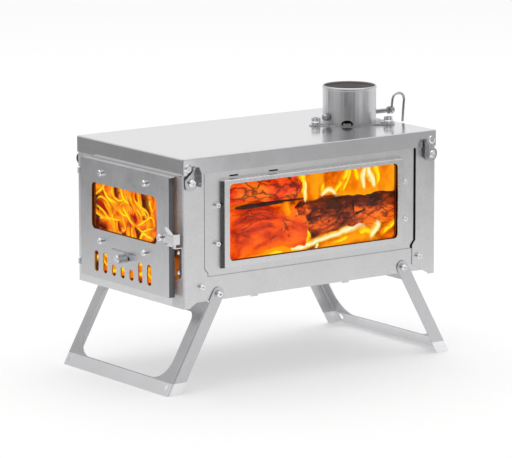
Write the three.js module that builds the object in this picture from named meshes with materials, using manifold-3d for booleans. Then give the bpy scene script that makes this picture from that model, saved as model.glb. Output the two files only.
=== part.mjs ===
// Folding titanium tent stove: a flat-pack firebox of folded sheet on two hinged leg frames, with a glazed
// door, a glazed side, a draught slider, four lid clasps and a flue collar with a sprung damper.
// Units are millimetres, +Z is up and the ground is z = 0. The door faces -Y and the flue stands near +Y.
import * as THREE from 'three';
import { mergeVertices } from 'three/addons/utils/BufferGeometryUtils.js';
import Module from 'manifold-3d';

// ---- driving dimensions ----
const SHEET = 0.7;            // titanium sheet of the box
const LEG_SHEET = 1.1;        // thicker sheet of the leg frames
const SEAT = 0.2;             // air between one sheet and the next one outside it
const TOUCH = 0.3;            // air where a piece is cut by, or turns against, its neighbour

const LID_LENGTH = 342;
const LID_HALF_WIDTH = 101.8;
const LID_FLANGE = 17.8;
const LID_TOP = 253.5;        // lid face above the ground
const KNOB_FRONT = 23.2;      // how far the draught knob stands out in front of the lid
const HANDLE_REAR = 377.766;      // how far back the damper handle reaches, from the lid's front
const FRONT = (KNOB_FRONT - HANDLE_REAR) / 2;    // y of the lid's front face, with the object centred on y = 0
const REAR = FRONT + LID_LENGTH;

const PANEL_OUT = LID_HALF_WIDTH - SHEET - SEAT;     // outer face of the end panels' return flanges
const TRAY_OUT = PANEL_OUT - SHEET - SEAT;           // outer face of the floor tray's side flanges
const WALL_OUT = TRAY_OUT - SHEET - TOUCH;            // outer face of the side panels
const UNDER_LID = LID_TOP - SHEET - 0.6;             // top edge of the walls, clear of the lid's inner bends
const PANEL_FOOT = LID_TOP - 161.5;                  // lowest edge of the end panels
const PANEL_FACE = SHEET + SEAT;                     // end panel's outer face, in from the lid's end face
const TRAY_UNDER = LID_TOP - 156.6;                  // underside of the floor tray
const TRAY_RIM = LID_TOP - 130;
const RETURN_DEPTH = 28;                             // end panel's return flange, above and below its step
const RETURN_DEPTH_LOW = 32.4;
const WALL_GAP = 1.9;                                // open joint between return flange and side panel

const DOOR = { left: -77.8, right: 90.8, top: LID_TOP - 19.4, bottom: LID_TOP - 149.2, front: -11, flange: 7.6 };
const HINGE = { x: -84.6, y: -8, knuckle: 2.2, pin: 1.0, heights: [LID_TOP - 35.8, LID_TOP - 136.4] };
const DOOR_WINDOW = { left: -56.6, right: 68.8, top: LID_TOP - 44, bottom: LID_TOP - 95, corner: 6 };
const VENT = { pitch: 16.93, width: 8, foot: LID_TOP - 142, tall: 23.2, short: 12.5, first: -47.6 };
const VENT_IS_TALL = [true, true, false, false, false, true, true];
const SLIDE_TRAVEL = 8.5;
const KNOB = { x: 8.2, z: LID_TOP - 118.9, radius: 5 };
const LATCH = { x: 78, z: LID_TOP - 85.5, end: 101.5 };

const SIDE_WINDOW = { front: 58.8, rear: 286.2, top: LID_TOP - 31.9, bottom: LID_TOP - 115.4, corner: 5 };
const FRAME_PROUD = 5.7;                             // window frame's face, out from the side panel
const FRAME_BAND = 6.6;                              // width of the frame's flat band
const FRAME_TOP_TRIM = 1.8;                          // how much narrower the band is along the top
const FRAME_SPLAY = 2;                               // how much wider the frame is at its foot

const SPLAY = THREE.MathUtils.degToRad(29.2);        // each leg frame's lean from upright
const LEG = { pivotY: 46, pivotZ: LID_TOP - 149.7, plateOff: 8.2, flange: 15.6,
  out: TRAY_OUT + TOUCH + LEG_SHEET, barDown: 12.7, openLow: 16, openHigh: 96, openHalf: 85.5,
  filletLow: 25, filletHigh: 9, hole: 3.5, holeX: 92, holeUp: 9.4, eye: 7.4 };

LEG.reach = (LEG.pivotZ + LEG.plateOff * Math.sin(SPLAY)) / Math.cos(SPLAY);   // pivot to foot
LEG.barTop = LEG.reach - LEG.barDown;                // the crossbar's top edge stops against the tray

const FLUE = { y: 298.5, radius: 30, bore: 28.9, height: 42, plate: 1.0, plateRadius: 37.6, nutCircle: 47 };
const DAMPER = { z: LID_TOP + 8.2, axle: 1.6, disc: 27.2, thick: 0.9 };
const HANDLE = { y: 358.9, gauge: 1.45, head: 3.9 };
const NUB = { y: 7, down: 10.6, radius: 4.7 };          // pressed boss on the lid's flange, one by each clasp
const CLASP = { y: 9.3, z: LID_TOP - 25.8, radius: 8.3, inner: 103.9, wingOut: 112 };

// ---- colours and finishes ----
const titanium = (color, roughness = 0.35) => new THREE.MeshStandardMaterial({ color, roughness, metalness: 1 });
const BRUSHED = titanium(0xc4c5c6);
const SATIN = titanium(0xb9babb, 0.3);
const STEEL = titanium(0xa9abad, 0.25);
const GLASS = new THREE.MeshStandardMaterial({ color: 0xd9e4e2, roughness: 0.05, transparent: true, opacity: 0.3 });

// ---- solids: booleans, flat plates and folded sheet ----
const wasm = await Module();
wasm.setup();

function toSolid(geometry) {
  const bare = geometry.index ? geometry.toNonIndexed() : geometry.clone();
  bare.deleteAttribute('normal');
  bare.deleteAttribute('uv');
  const merged = mergeVertices(bare, 1e-4);
  return new wasm.Manifold(new wasm.Mesh({
    numProp: 3,
    vertProperties: new Float32Array(merged.attributes.position.array),
    triVerts: new Uint32Array(merged.index.array),
  }));
}

function toGeometry(solid) {
  const { vertProperties, triVerts, numProp } = solid.simplify(0.004).getMesh();
  const points = new Float32Array((vertProperties.length / numProp) * 3);
  for (let i = 0; i < points.length / 3; i += 1) {
    points.set(vertProperties.subarray(i * numProp, i * numProp + 3), i * 3);
  }
  const geometry = new THREE.BufferGeometry();
  geometry.setAttribute('position', new THREE.BufferAttribute(points, 3));
  geometry.setIndex(new THREE.BufferAttribute(new Uint32Array(triVerts), 1));
  geometry.computeVertexNormals();
  return geometry;
}

const join = (...solids) => solids.reduce((whole, piece) => whole.add(piece));
const cut = (whole, ...tools) => tools.reduce((rest, tool) => rest.subtract(tool), whole);

// An outline pushed to a thickness, then laid in one of the three main planes.
// lie 'up' keeps (u, v) as (x, y); 'front' reads it as (x, z) and 'side' as (y, z). The sheet starts at `from`.
function slab(shape, lie, from, thickness, curveSegments = 3) {
  const geometry = new THREE.ExtrudeGeometry(shape, { depth: thickness, bevelEnabled: false, curveSegments });
  const basis = new THREE.Matrix4();
  if (lie === 'front') {
    basis.set(1, 0, 0, 0, 0, 0, -1, from + thickness, 0, 1, 0, 0, 0, 0, 0, 1);
  } else if (lie === 'side') {
    basis.set(0, 0, 1, from, 1, 0, 0, 0, 0, 1, 0, 0, 0, 0, 0, 1);
  } else {
    basis.makeTranslation(0, 0, from);
  }
  return toSolid(geometry.applyMatrix4(basis));
}

function polygon(points) {
  return new THREE.Shape(points.map(([u, v]) => new THREE.Vector2(u, v)));
}

function rectangle(u0, v0, u1, v1, corner = 0) {
  if (corner === 0) return polygon([[u0, v0], [u1, v0], [u1, v1], [u0, v1]]);
  return new THREE.Shape()
    .moveTo(u0 + corner, v0).lineTo(u1 - corner, v0)
    .absarc(u1 - corner, v0 + corner, corner, -Math.PI / 2, 0)
    .lineTo(u1, v1 - corner).absarc(u1 - corner, v1 - corner, corner, 0, Math.PI / 2)
    .lineTo(u0 + corner, v1).absarc(u0 + corner, v1 - corner, corner, Math.PI / 2, Math.PI)
    .lineTo(u0, v0 + corner).absarc(u0 + corner, v0 + corner, corner, Math.PI, 1.5 * Math.PI);
}

function disc(u, v, radius) {
  return new THREE.Shape().absarc(u, v, radius, 0, 2 * Math.PI);
}

function box(x0, y0, z0, x1, y1, z1) {
  return slab(rectangle(x0, y0, x1, y1), 'up', z0, z1 - z0);
}

// The section of a sheet bent along a route: each inner corner gets a bend of the given mid-line radius.
function bentSection(route, thickness, bend, arcSteps = 3) {
  const half = thickness / 2;
  const left = [];
  const right = [];
  const put = (point, normal) => {
    left.push(point.clone().addScaledVector(normal, half));
    right.unshift(point.clone().addScaledVector(normal, -half));
  };
  const points = route.map(([u, v]) => new THREE.Vector2(u, v));
  const normalOf = (a, b) => new THREE.Vector2(a.y - b.y, b.x - a.x).normalize();
  put(points[0], normalOf(points[0], points[1]));
  for (let i = 1; i < points.length - 1; i += 1) {
    const before = normalOf(points[i - 1], points[i]);
    const after = normalOf(points[i], points[i + 1]);
    const turn = Math.atan2(before.cross(after), before.dot(after));
    const side = Math.sign(turn);
    const reach = bend * Math.tan(Math.abs(turn) / 2);
    const along = new THREE.Vector2().subVectors(points[i], points[i - 1]).normalize();
    const centre = points[i].clone().addScaledVector(along, -reach).addScaledVector(before, side * bend);
    for (let k = 0; k <= arcSteps; k += 1) {
      const normal = before.clone().rotateAround(new THREE.Vector2(), (turn * k) / arcSteps);
      put(centre.clone().addScaledVector(normal, -side * bend), normal);
    }
  }
  put(points.at(-1), normalOf(points.at(-2), points.at(-1)));
  return new THREE.Shape([...left, ...right]);
}

// A solid of revolution about +Z from (radius, height) points, which run up its outside and close on the axis.
function turned(profile, segments = 20) {
  const geometry = new THREE.LatheGeometry(profile.map(([r, h]) => new THREE.Vector2(r, h)), segments);
  return toSolid(geometry.rotateX(Math.PI / 2));
}

// Turns a piece made along +Z so that it points along the given axis, then carries it to a place.
function aim(solid, axis, place) {
  const turn = new THREE.Quaternion().setFromUnitVectors(new THREE.Vector3(0, 0, 1), new THREE.Vector3(...axis));
  const matrix = new THREE.Matrix4().compose(new THREE.Vector3(...place), turn, new THREE.Vector3(1, 1, 1));
  return solid.transform(matrix.elements);
}

const rod = (radius, length, segments = 12) => turned([[0, 0], [radius, 0], [radius, length], [0, length]], segments);
const bore = (radius, axis, place, length = 12) => aim(rod(radius, length), axis, place);
const mirrorX = (solid) => solid.mirror([1, 0, 0]);
const mirrorEnds = (solid) => solid.mirror([0, 1, 0]).translate([0, FRONT + REAR, 0]);

// ---- the scene graph ----
const group = new THREE.Group();

function add(name, solid, material) {
  const mesh = new THREE.Mesh(solid.getMesh ? toGeometry(solid) : solid, material);
  mesh.name = name;
  group.add(mesh);
  return mesh;
}

// Pan-head socket screw pointing along +Z: head above z = 0, shank below, with an optional shoulder under the head.
function socketScrew({ head = 3.4, rise = 3.8, shank = 1.4, length = 3, shoulder = 0, shoulderRadius = 0 }) {
  const foot = -shoulder - length;
  const profile = [[0, foot], [shank, foot]];
  if (shoulder > 0) profile.push([shank, -shoulder], [shoulderRadius, -shoulder], [shoulderRadius, 0]);
  else profile.push([shank, 0]);
  profile.push([head, 0], [head * 0.97, rise * 0.7], [head * 0.78, rise], [0, rise]);
  const socket = aim(rod(head * 0.5, rise, 6), [0, 0, 1], [0, 0, rise * 0.5]);
  return cut(turned(profile, 12), socket);
}

// ---- places round the flue: pieces are made at its front (toward -Y) about x = y = 0, then swung round ----
const flueY = FRONT + FLUE.y;
const plateTop = LID_TOP + FLUE.plate + 0.05;
const nutAngles = [-90, 30, 150];
const archAngles = [-42, 78, 198];
const aroundFlue = (solid, degrees) => solid.rotate([0, 0, degrees + 90]).translate([0, flueY, 0]);
const KEYHOLE = { out: 40.2, radius: 3.9, slot: 2.3 };

function flueKeyholes(angle, low) {
  const opening = slab(disc(0, -KEYHOLE.out, KEYHOLE.radius), 'up', low, 10, 7);
  const nutHole = slab(disc(0, -FLUE.nutCircle, KEYHOLE.slot), 'up', low, 10, 5);
  const neck = slab(rectangle(-KEYHOLE.slot, -FLUE.nutCircle, KEYHOLE.slot, -KEYHOLE.out), 'up', low, 10);
  return [aroundFlue(join(opening, nutHole, neck), angle)];
}

// ---- lid ----
function lid() {
  const mid = SHEET / 2;
  const top = LID_TOP - mid;
  const foot = LID_TOP - LID_FLANGE;
  const bend = 1;
  const side = LID_HALF_WIDTH - mid;
  const across = bentSection([[-side, foot], [-side, top], [side, top], [side, foot]], SHEET, bend);
  const along = bentSection([[FRONT + mid, foot], [FRONT + mid, top], [REAR - mid, top], [REAR - mid, foot]], SHEET, bend);
  const corner = SHEET + 0.25;
  const sides = slab(across, 'front', FRONT + corner, LID_LENGTH - 2 * corner);
  const ends = slab(along, 'side', corner - LID_HALF_WIDTH, 2 * (LID_HALF_WIDTH - corner));
  const flueHole = slab(disc(0, flueY, FLUE.bore), 'up', LID_TOP - 5, 10, 16);
  const keyholes = nutAngles.flatMap((angle) => flueKeyholes(angle, LID_TOP - 5));
  const r = NUB.radius;
  const boss = turned([[0, -0.4], [r, -0.4], [r, 0.3], [r - 0.6, 1.4], [r - 1.7, 1.7], [0, 1.7]], 14);
  const nub = aim(boss, [1, 0, 0], [LID_HALF_WIDTH, FRONT + NUB.y, LID_TOP - NUB.down]);
  const nubs = [nub, mirrorX(nub), mirrorEnds(nub), mirrorX(mirrorEnds(nub))];
  return cut(join(sides, ends, ...nubs), flueHole, ...keyholes);
}
add('top_plate', lid(), BRUSHED);

// ---- end panels ----
// The return flange as seen from the side, measured back from the lid's end face.
function returnOutline() {
  const top = UNDER_LID;
  const step = LID_TOP - 121;
  return polygon([
    [FRONT, PANEL_FOOT], [FRONT + 9.8, PANEL_FOOT], [FRONT + 10.6, LID_TOP - 160.2],
    [FRONT + RETURN_DEPTH_LOW, LID_TOP - 148.4], [FRONT + RETURN_DEPTH_LOW, step - 5.4],
    [FRONT + RETURN_DEPTH, step], [FRONT + RETURN_DEPTH, top], [FRONT, top],
  ]);
}

function endPanel() {
  const mid = SHEET / 2;
  const side = PANEL_OUT - mid;
  const face = FRONT + PANEL_FACE + mid;
  const back = FRONT + RETURN_DEPTH_LOW + 1;
  const section = bentSection([[-side, back], [-side, face], [side, face], [side, back]], SHEET, 0.8);
  const folded = slab(section, 'up', PANEL_FOOT, UNDER_LID - PANEL_FOOT);
  return folded.intersect(slab(returnOutline(), 'side', -PANEL_OUT - 1, 2 * PANEL_OUT + 2));
}

const PANEL_SCREW = { y: 24, z: LID_TOP - 139.6 };
const throughSides = (radius, y, z) => bore(radius, [1, 0, 0], [-110, y, z], 220);
const claspAt = [FRONT + CLASP.y, CLASP.z];
const panelHoles = [
  throughSides(1.6, FRONT + PANEL_SCREW.y, PANEL_SCREW.z),
  throughSides(1.6, ...claspAt),
];

// One ear of a door hinge: a tongue bent forward out of the panel, with a hole for the pin.
function hingeEar(z) {
  const y = FRONT + HINGE.y;
  const tongue = new THREE.Shape()
    .moveTo(HINGE.x + HINGE.knuckle, FRONT + PANEL_FACE + SHEET / 2)
    .lineTo(HINGE.x - HINGE.knuckle, FRONT + PANEL_FACE + SHEET / 2)
    .lineTo(HINGE.x - HINGE.knuckle, y)
    .absarc(HINGE.x, y, HINGE.knuckle, Math.PI, 2 * Math.PI);
  tongue.holes.push(new THREE.Path().absarc(HINGE.x, y, HINGE.pin + 0.1, 0, 2 * Math.PI));
  return slab(tongue, 'up', z, 1, 4);
}

const EAR_SPAN = 4.4;          // clear height between the two ears of a hinge
const KEEPER = { left: 85.4, right: 99.4, top: LID_TOP - 94.5, foot: LID_TOP - 129.4, rivets: [101, 122.8] };

function frontPanel() {
  const mouth = slab(rectangle(-66, LID_TOP - 143, 80, LID_TOP - 29, 7), 'front', FRONT - 1, 5);
  const ears = HINGE.heights.flatMap((z) => [hingeEar(z + EAR_SPAN / 2), hingeEar(z - EAR_SPAN / 2 - 1)]);
  const rivetHoles = KEEPER.rivets.map((down) => (
    bore(1.6, [0, 1, 0], [(KEEPER.left + KEEPER.right) / 2, FRONT - 4, LID_TOP - down])
  ));
  return cut(join(endPanel(), ...ears), mouth, ...panelHoles, ...rivetHoles);
}
add('front_panel', frontPanel(), BRUSHED);
add('rear_panel', mirrorEnds(cut(endPanel(), ...panelHoles)), BRUSHED);

// ---- floor tray ----
const TAB = { places: [[90.4, 100], [213.4, 223]], drop: 1.9 };

function tray() {
  const mid = SHEET / 2;
  const side = TRAY_OUT - mid;
  const floor = TRAY_UNDER + mid;
  const endGap = PANEL_FACE + SHEET + 0.6;
  const across = bentSection([[-side, TRAY_RIM], [-side, floor], [side, floor], [side, TRAY_RIM]], SHEET, 0.5);
  const body = slab(across, 'front', FRONT + endGap, LID_LENGTH - 2 * endGap);
  const lip = slab(rectangle(2 - side, floor, side - 2, floor + 12), 'front', FRONT + endGap, SHEET);
  const slots = TAB.places.flatMap(([y0, y1]) => [-1, 1].map((hand) => {
    const x = hand * (WALL_OUT - mid);
    return box(x - mid - 0.1, FRONT + y0 - TOUCH, TRAY_UNDER - 1, x + mid + 0.1, FRONT + y1 + TOUCH, TRAY_UNDER + 2);
  }));
  const pivots = [LEG.pivotY, LID_LENGTH - LEG.pivotY].map((y) => throughSides(1.9, FRONT + y, LEG.pivotZ));
  const fixings = [PANEL_SCREW.y, LID_LENGTH - PANEL_SCREW.y].map((y) => throughSides(1.6, FRONT + y, PANEL_SCREW.z));
  return cut(join(body, lip, mirrorEnds(lip)), ...slots, ...pivots, ...fixings);
}
add('floor_tray', tray(), BRUSHED);

// ---- side panels ----
// Outline of a side wall, (y, z): its ends follow the step of the return flanges, its foot drops behind the tray
// between the leg pivots, and two tabs pass through the tray floor.
function wallOutline() {
  const top = UNDER_LID;
  const step = LID_TOP - 121;
  const high = RETURN_DEPTH + WALL_GAP;
  const low = RETURN_DEPTH_LOW + WALL_GAP;
  const shoulder = TRAY_RIM - 4;
  const foot = TRAY_UNDER + SHEET + 0.6;
  const footStart = 60;
  const half = [[high, top], [high, step], [low, step - 5.4], [low, shoulder], [footStart, shoulder], [footStart, foot]];
  const tabs = TAB.places.flatMap(([y0, y1]) => {
    const tip = TRAY_UNDER - TAB.drop;
    return [[y0, foot], [y0, tip], [y1, tip], [y1, foot]];
  });
  const far = half.map(([y, z]) => [LID_LENGTH - y, z]).reverse();
  return polygon([...half, ...tabs, ...far].map(([y, z]) => [FRONT + y, z]));
}

const GLASS_EDGE = 3.4;                               // glass hidden under the frame on each side
const LIP = 1.6;                                      // how far the retainer's lip stands in through the wall

function windowRectangle(grow, corner = SIDE_WINDOW.corner) {
  const { front, rear, top, bottom } = SIDE_WINDOW;
  return rectangle(FRONT + front - grow, bottom - grow, FRONT + rear + grow, top + grow, corner);
}

const WINDOW_SCREWS = [45.6, 299].flatMap((y) => [53.9, 95.5].map((down) => [FRONT + y, LID_TOP - down]));

function glazedWall() {
  const opening = slab(windowRectangle(LIP + 0.4), 'side', WALL_OUT - 3, 6);
  const slits = [[62.5, 74], [114.5, 126.5]].map(([y0, y1]) => (
    slab(rectangle(FRONT + y0, LID_TOP - 24.6, FRONT + y1, LID_TOP - 22.9, 0.6), 'side', WALL_OUT - 3, 6, 3)
  ));
  const holes = WINDOW_SCREWS.map(([y, z]) => bore(1.6, [1, 0, 0], [WALL_OUT - 4, y, z]));
  return cut(slab(wallOutline(), 'side', WALL_OUT - SHEET, SHEET), opening, ...slits, ...holes);
}
add('side_panel_right', glazedWall(), BRUSHED);
add('side_panel_left', slab(wallOutline(), 'side', -WALL_OUT, SHEET), BRUSHED);

// ---- side window ----
// The frame is a shallow pan: a flat band round the opening, with splayed sides that stand on the wall.
function splayedBlock(grow, splay, height) {
  const { front, rear, top, bottom } = SIDE_WINDOW;
  const y0 = FRONT + front - grow;
  const y1 = FRONT + rear + grow;
  const z0 = bottom - grow;
  const z1 = top + grow - FRAME_TOP_TRIM;
  const tall = splay * 0.5;
  const ring = (x, dy, dz) => [[x, y0 - dy, z0 - dz], [x, y1 + dy, z0 - dz], [x, y1 + dy, z1 + dz], [x, y0 - dy, z1 + dz]];
  const corners = [...ring(WALL_OUT, splay, tall), ...ring(WALL_OUT + height, 0, 0)];
  const quads = [[3, 2, 1, 0], [4, 5, 6, 7], [0, 1, 5, 4], [1, 2, 6, 5], [2, 3, 7, 6], [3, 0, 4, 7]];
  const geometry = new THREE.BufferGeometry();
  const faces = quads.flatMap(([a, b, c, d]) => [a, b, c, a, c, d]);
  geometry.setAttribute('position', new THREE.Float32BufferAttribute(faces.flatMap((i) => corners[i]), 3));
  return toSolid(geometry);
}

function windowFrame() {
  const shell = cut(
    splayedBlock(FRAME_BAND, FRAME_SPLAY, FRAME_PROUD),
    splayedBlock(FRAME_BAND - SHEET, FRAME_SPLAY, FRAME_PROUD - SHEET),
  );
  return cut(shell, slab(windowRectangle(0), 'side', WALL_OUT, FRAME_PROUD + 1));
}
add('window_frame', windowFrame(), SATIN);

const paneIn = WALL_OUT + FRAME_PROUD - SHEET - 0.2;   // outer face of the side glass
const PANE = 3.2;
add('window_glass', slab(windowRectangle(GLASS_EDGE, 3), 'side', paneIn - PANE, PANE), GLASS);

function windowRetainer() {
  const back = WALL_OUT - 2 * SHEET;
  const plate = slab(rectangle(FRONT + 41, LID_TOP - 125, FRONT + 303, LID_TOP - 20, 4), 'side', back, SHEET);
  const lipTop = paneIn - PANE;
  const lip = slab(windowRectangle(LIP), 'side', back, lipTop - back);
  const bosses = WINDOW_SCREWS.map(([y, z]) => aim(rod(3, 2.2, 6), [1, 0, 0], [back - 2.2, y, z]));
  const holes = WINDOW_SCREWS.map(([y, z]) => bore(1.5, [1, 0, 0], [back - 4, y, z]));
  return cut(join(plate, lip, ...bosses), slab(windowRectangle(0), 'side', back - 5, 15), ...holes);
}
add('window_retainer', windowRetainer(), BRUSHED);

WINDOW_SCREWS.forEach(([y, z], i) => {
  add(`window_screw_${i + 1}`, aim(socketScrew({ length: 3.4 }), [1, 0, 0], [WALL_OUT, y, z]), STEEL);
});

// ---- door ----
const doorFace = FRONT + DOOR.front;                   // outer face of the door sheet
const doorBack = doorFace + SHEET;
const SLIT = { left: -17.2, right: 27.4, low: LID_TOP - 113, high: LID_TOP - 111.6 };

// Outline of one vent slot: a round-ended upright slot, centred on x.
function ventSlot(index, shift = 0, spare = 0) {
  const x = VENT.first + VENT.pitch * index + shift;
  const half = VENT.width / 2 + spare;
  const height = VENT_IS_TALL[index] ? VENT.tall : VENT.short;
  return rectangle(x - half, VENT.foot - spare, x + half, VENT.foot + height + spare, half - 0.01);
}

// The tall box of a door flange's chamfered end: cut away to slope the top flange in towards the panel.
function chamferWedge(x, inward) {
  const outline = [[x - inward * 0.5, doorFace - 0.5], [x + inward * 2.2, FRONT + 1], [x - inward * 3, FRONT + 1]];
  return slab(polygon(inward > 0 ? outline : outline.reverse()), 'up', DOOR.bottom - 1, DOOR.top - DOOR.bottom + 2);
}

function doorPan() {
  const { left, right, top, bottom, flange } = DOOR;
  const reach = FRONT + PANEL_FACE - TOUCH - doorFace; // the top and bottom flanges close on the panel
  const face = slab(rectangle(left, bottom, right, top, 1), 'front', doorFace, SHEET, 1);
  const topFlange = box(left, doorFace, top - SHEET, right, doorFace + reach, top);
  const bottomFlange = box(left, doorFace, bottom, right, doorFace + flange, bottom + SHEET);
  const leftFlange = box(left, doorFace, bottom, left + SHEET, doorFace + flange, top);
  const rightFlange = box(right - SHEET, doorFace, bottom, right, doorFace + flange, top);
  const pan = join(face, cut(topFlange, chamferWedge(left, 1), chamferWedge(right, -1)), bottomFlange, leftFlange, rightFlange);
  const knuckles = HINGE.heights.map((z) => {
    const low = z - EAR_SPAN / 2 + TOUCH;
    const high = EAR_SPAN - 2 * TOUCH;
    const barrel = slab(disc(HINGE.x, FRONT + HINGE.y, HINGE.knuckle), 'up', low, high, 6);
    const leaf = box(HINGE.x, FRONT + HINGE.y - SHEET / 2, low, left + SHEET / 2, FRONT + HINGE.y + SHEET / 2, low + high);
    return join(barrel, leaf);
  });
  const pinHole = slab(disc(HINGE.x, FRONT + HINGE.y, HINGE.pin + TOUCH), 'up', bottom - 5, top - bottom + 10, 5);
  const railTop = box(-70, doorBack, LID_TOP - 111.1, 84, doorBack + 2.4, LID_TOP - 110.3);
  const railLip = box(-70, doorBack + 1.6, LID_TOP - 114, 84, doorBack + 2.4, LID_TOP - 110.3);
  const footLip = box(-70, doorBack + 1.6, bottom, 84, doorBack + 2.4, bottom + 4.2);
  const vents = VENT_IS_TALL.map((_, i) => slab(ventSlot(i), 'front', doorFace - 1, 3, 2));
  const { left: wl, right: wr, top: wt, bottom: wb, corner } = DOOR_WINDOW;
  const pane = slab(rectangle(wl, wb, wr, wt, corner), 'front', doorFace - 1, 3);
  const slit = slab(rectangle(SLIT.left, SLIT.low, SLIT.right, SLIT.high), 'front', doorFace - 1, 3);
  const knobSlot = slab(rectangle(KNOB.x - 1.8, KNOB.z - 1.8, KNOB.x + SLIDE_TRAVEL + 1.8, KNOB.z + 1.8, 1.79),
    'front', doorFace - 1, 3, 2);
  const screwHoles = DOOR_SCREWS.map(([x, z]) => bore(1.6, [0, 1, 0], [x, doorFace - 2, z], 6));
  const latchHole = bore(1.9, [0, 1, 0], [LATCH.x, doorFace - 2, LATCH.z], 6);
  return cut(join(pan, ...knuckles, railTop, railLip, footLip), pinHole, ...vents, pane, slit, knobSlot, ...screwHoles, latchHole);
}
const DOOR_SCREWS = [[-36.8, 32.1], [48, 31.5], [-37, 106.9], [47.6, 107]].map(([x, down]) => [x, LID_TOP - down]);
add('door', doorPan(), SATIN);

const doorPaneBack = doorBack + 0.2 + PANE;
function doorWindow(grow, corner) {
  const { left, right, top, bottom } = DOOR_WINDOW;
  return rectangle(left - grow, bottom - grow, right + grow, top + grow, corner);
}
add('door_glass', slab(doorWindow(4.5, 3), 'front', doorBack + 0.2, PANE), GLASS);

function doorRetainer() {
  const plate = slab(rectangle(-64, LID_TOP - 109.8, 76, LID_TOP - 28, 4), 'front', doorPaneBack + 0.2, SHEET);
  const bosses = DOOR_SCREWS.map(([x, z]) => aim(rod(2.9, PANE + 0.2, 6), [0, 1, 0], [x, doorBack + 0.2, z]));
  const holes = DOOR_SCREWS.map(([x, z]) => bore(1.5, [0, 1, 0], [x, doorFace - 2, z], 14));
  return cut(join(plate, ...bosses), slab(doorWindow(0, 5), 'front', doorFace, 12), ...holes);
}
add('glass_retainer', doorRetainer(), BRUSHED);

DOOR_SCREWS.forEach(([x, z], i) => {
  const screw = socketScrew({ length: PANE + 2, head: 3.7, rise: 4 });
  add(`door_screw_${i + 1}`, aim(screw, [0, -1, 0], [x, doorFace, z]), STEEL);
});

HINGE.heights.forEach((z, i) => {
  const reach = EAR_SPAN / 2 + 1;
  const pin = turned([[0, -reach - 0.9], [1.6, -reach - 0.9], [1.6, -reach], [HINGE.pin, -reach],
    [HINGE.pin, reach], [1.7, reach], [1.7, reach + 0.6], [1.1, reach + 1.1], [0, reach + 1.1]], 12);
  add(i === 0 ? 'hinge_pin_upper' : 'hinge_pin_lower', aim(pin, [0, 0, 1], [HINGE.x, FRONT + HINGE.y, z]), STEEL);
});

// ---- draught slider and its knob ----
function slider() {
  const back = doorBack + TOUCH;
  const plate = slab(rectangle(-62, DOOR.bottom + SHEET + TOUCH, 66, LID_TOP - 111.6), 'front', back, SHEET);
  const lip = box(SLIT.left + TOUCH, doorFace + 0.05, LID_TOP - 112.7, SLIT.right - SLIDE_TRAVEL - TOUCH, back + SHEET, LID_TOP - 111.9);
  const slots = VENT_IS_TALL.map((_, i) => slab(ventSlot(i, 0, 0.4), 'front', back - 1, 3, 2));
  return cut(join(plate, lip), ...slots, bore(1.5, [0, 1, 0], [KNOB.x, back - 1, KNOB.z], 4));
}
add('vent_slider', slider(), BRUSHED);

function knurled(radius, depth, teeth, height) {
  const points = [];
  for (let i = 0; i < teeth; i += 1) {
    for (const [part, r] of [[0, radius - depth], [0.5, radius]]) {
      const angle = ((i + part) / teeth) * 2 * Math.PI;
      points.push([r * Math.cos(angle), r * Math.sin(angle)]);
    }
  }
  return slab(polygon(points), 'up', 0, height);
}

function ventKnob() {
  const washer = 0.8;
  const length = KNOB_FRONT + DOOR.front - washer - TOUCH;
  const grip = knurled(KNOB.radius, 0.45, 22, length).translate([0, 0, washer + TOUCH]);
  const taper = turned([[0, washer], [5, washer], [5, washer + length - 1.2], [3.9, washer + length + TOUCH], [0, washer + length + TOUCH]], 20);
  const stud = aim(rod(1.35, washer + TOUCH + 2.2, 12), [0, 0, 1], [0, 0, -1.9]);
  return join(grip.intersect(taper), stud);
}
add('vent_knob', aim(ventKnob(), [0, -1, 0], [KNOB.x, doorFace, KNOB.z]), STEEL);
const knobWasher = cut(rod(5.5, 0.8, 20), rod(1.6, 4, 16).translate([0, 0, -1]));
add('vent_knob_washer', aim(knobWasher, [0, -1, 0], [KNOB.x, doorFace - 0.15, KNOB.z]), STEEL);

// ---- latch: a turning lever on the door, and the keeper riveted to the front panel ----
function latchLever() {
  const low = LATCH.z - 5;
  const high = LATCH.z + 6;
  const face = doorFace - TOUCH - SHEET;
  const bar = new THREE.Shape()
    .moveTo(LATCH.x, low + 0.8)
    .lineTo(LATCH.x + 8, low).lineTo(LATCH.end, low).lineTo(LATCH.end, high).lineTo(LATCH.x + 9, high)
    .lineTo(LATCH.x, high - 1.8)
    .absarc(LATCH.x, LATCH.z, 4.2, Math.PI / 2, 1.5 * Math.PI);
  const web = slab(bar, 'front', face, SHEET, 5);
  const hookBack = FRONT - 4.6;
  const end = box(LATCH.end - SHEET, face, low, LATCH.end, hookBack + SHEET, high);
  const hook = box(LATCH.end - 6, hookBack, low, LATCH.end, hookBack + SHEET, high);
  const ear = leaningTab([LATCH.x + 11, LATCH.end - 0.5], [LATCH.x + 11.5, LATCH.end - 6], high - 0.4, 8, -3.5, face);
  const lip = leaningTab([LATCH.x + 9, LATCH.end - 0.3], [LATCH.x + 9.5, LATCH.end - 0.8], low + 0.4, -2.2, -2.2, face);
  return cut(join(web, end, hook, ear, lip), bore(2.1, [0, 1, 0], [LATCH.x, face - 4, LATCH.z], 8));
}

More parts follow.
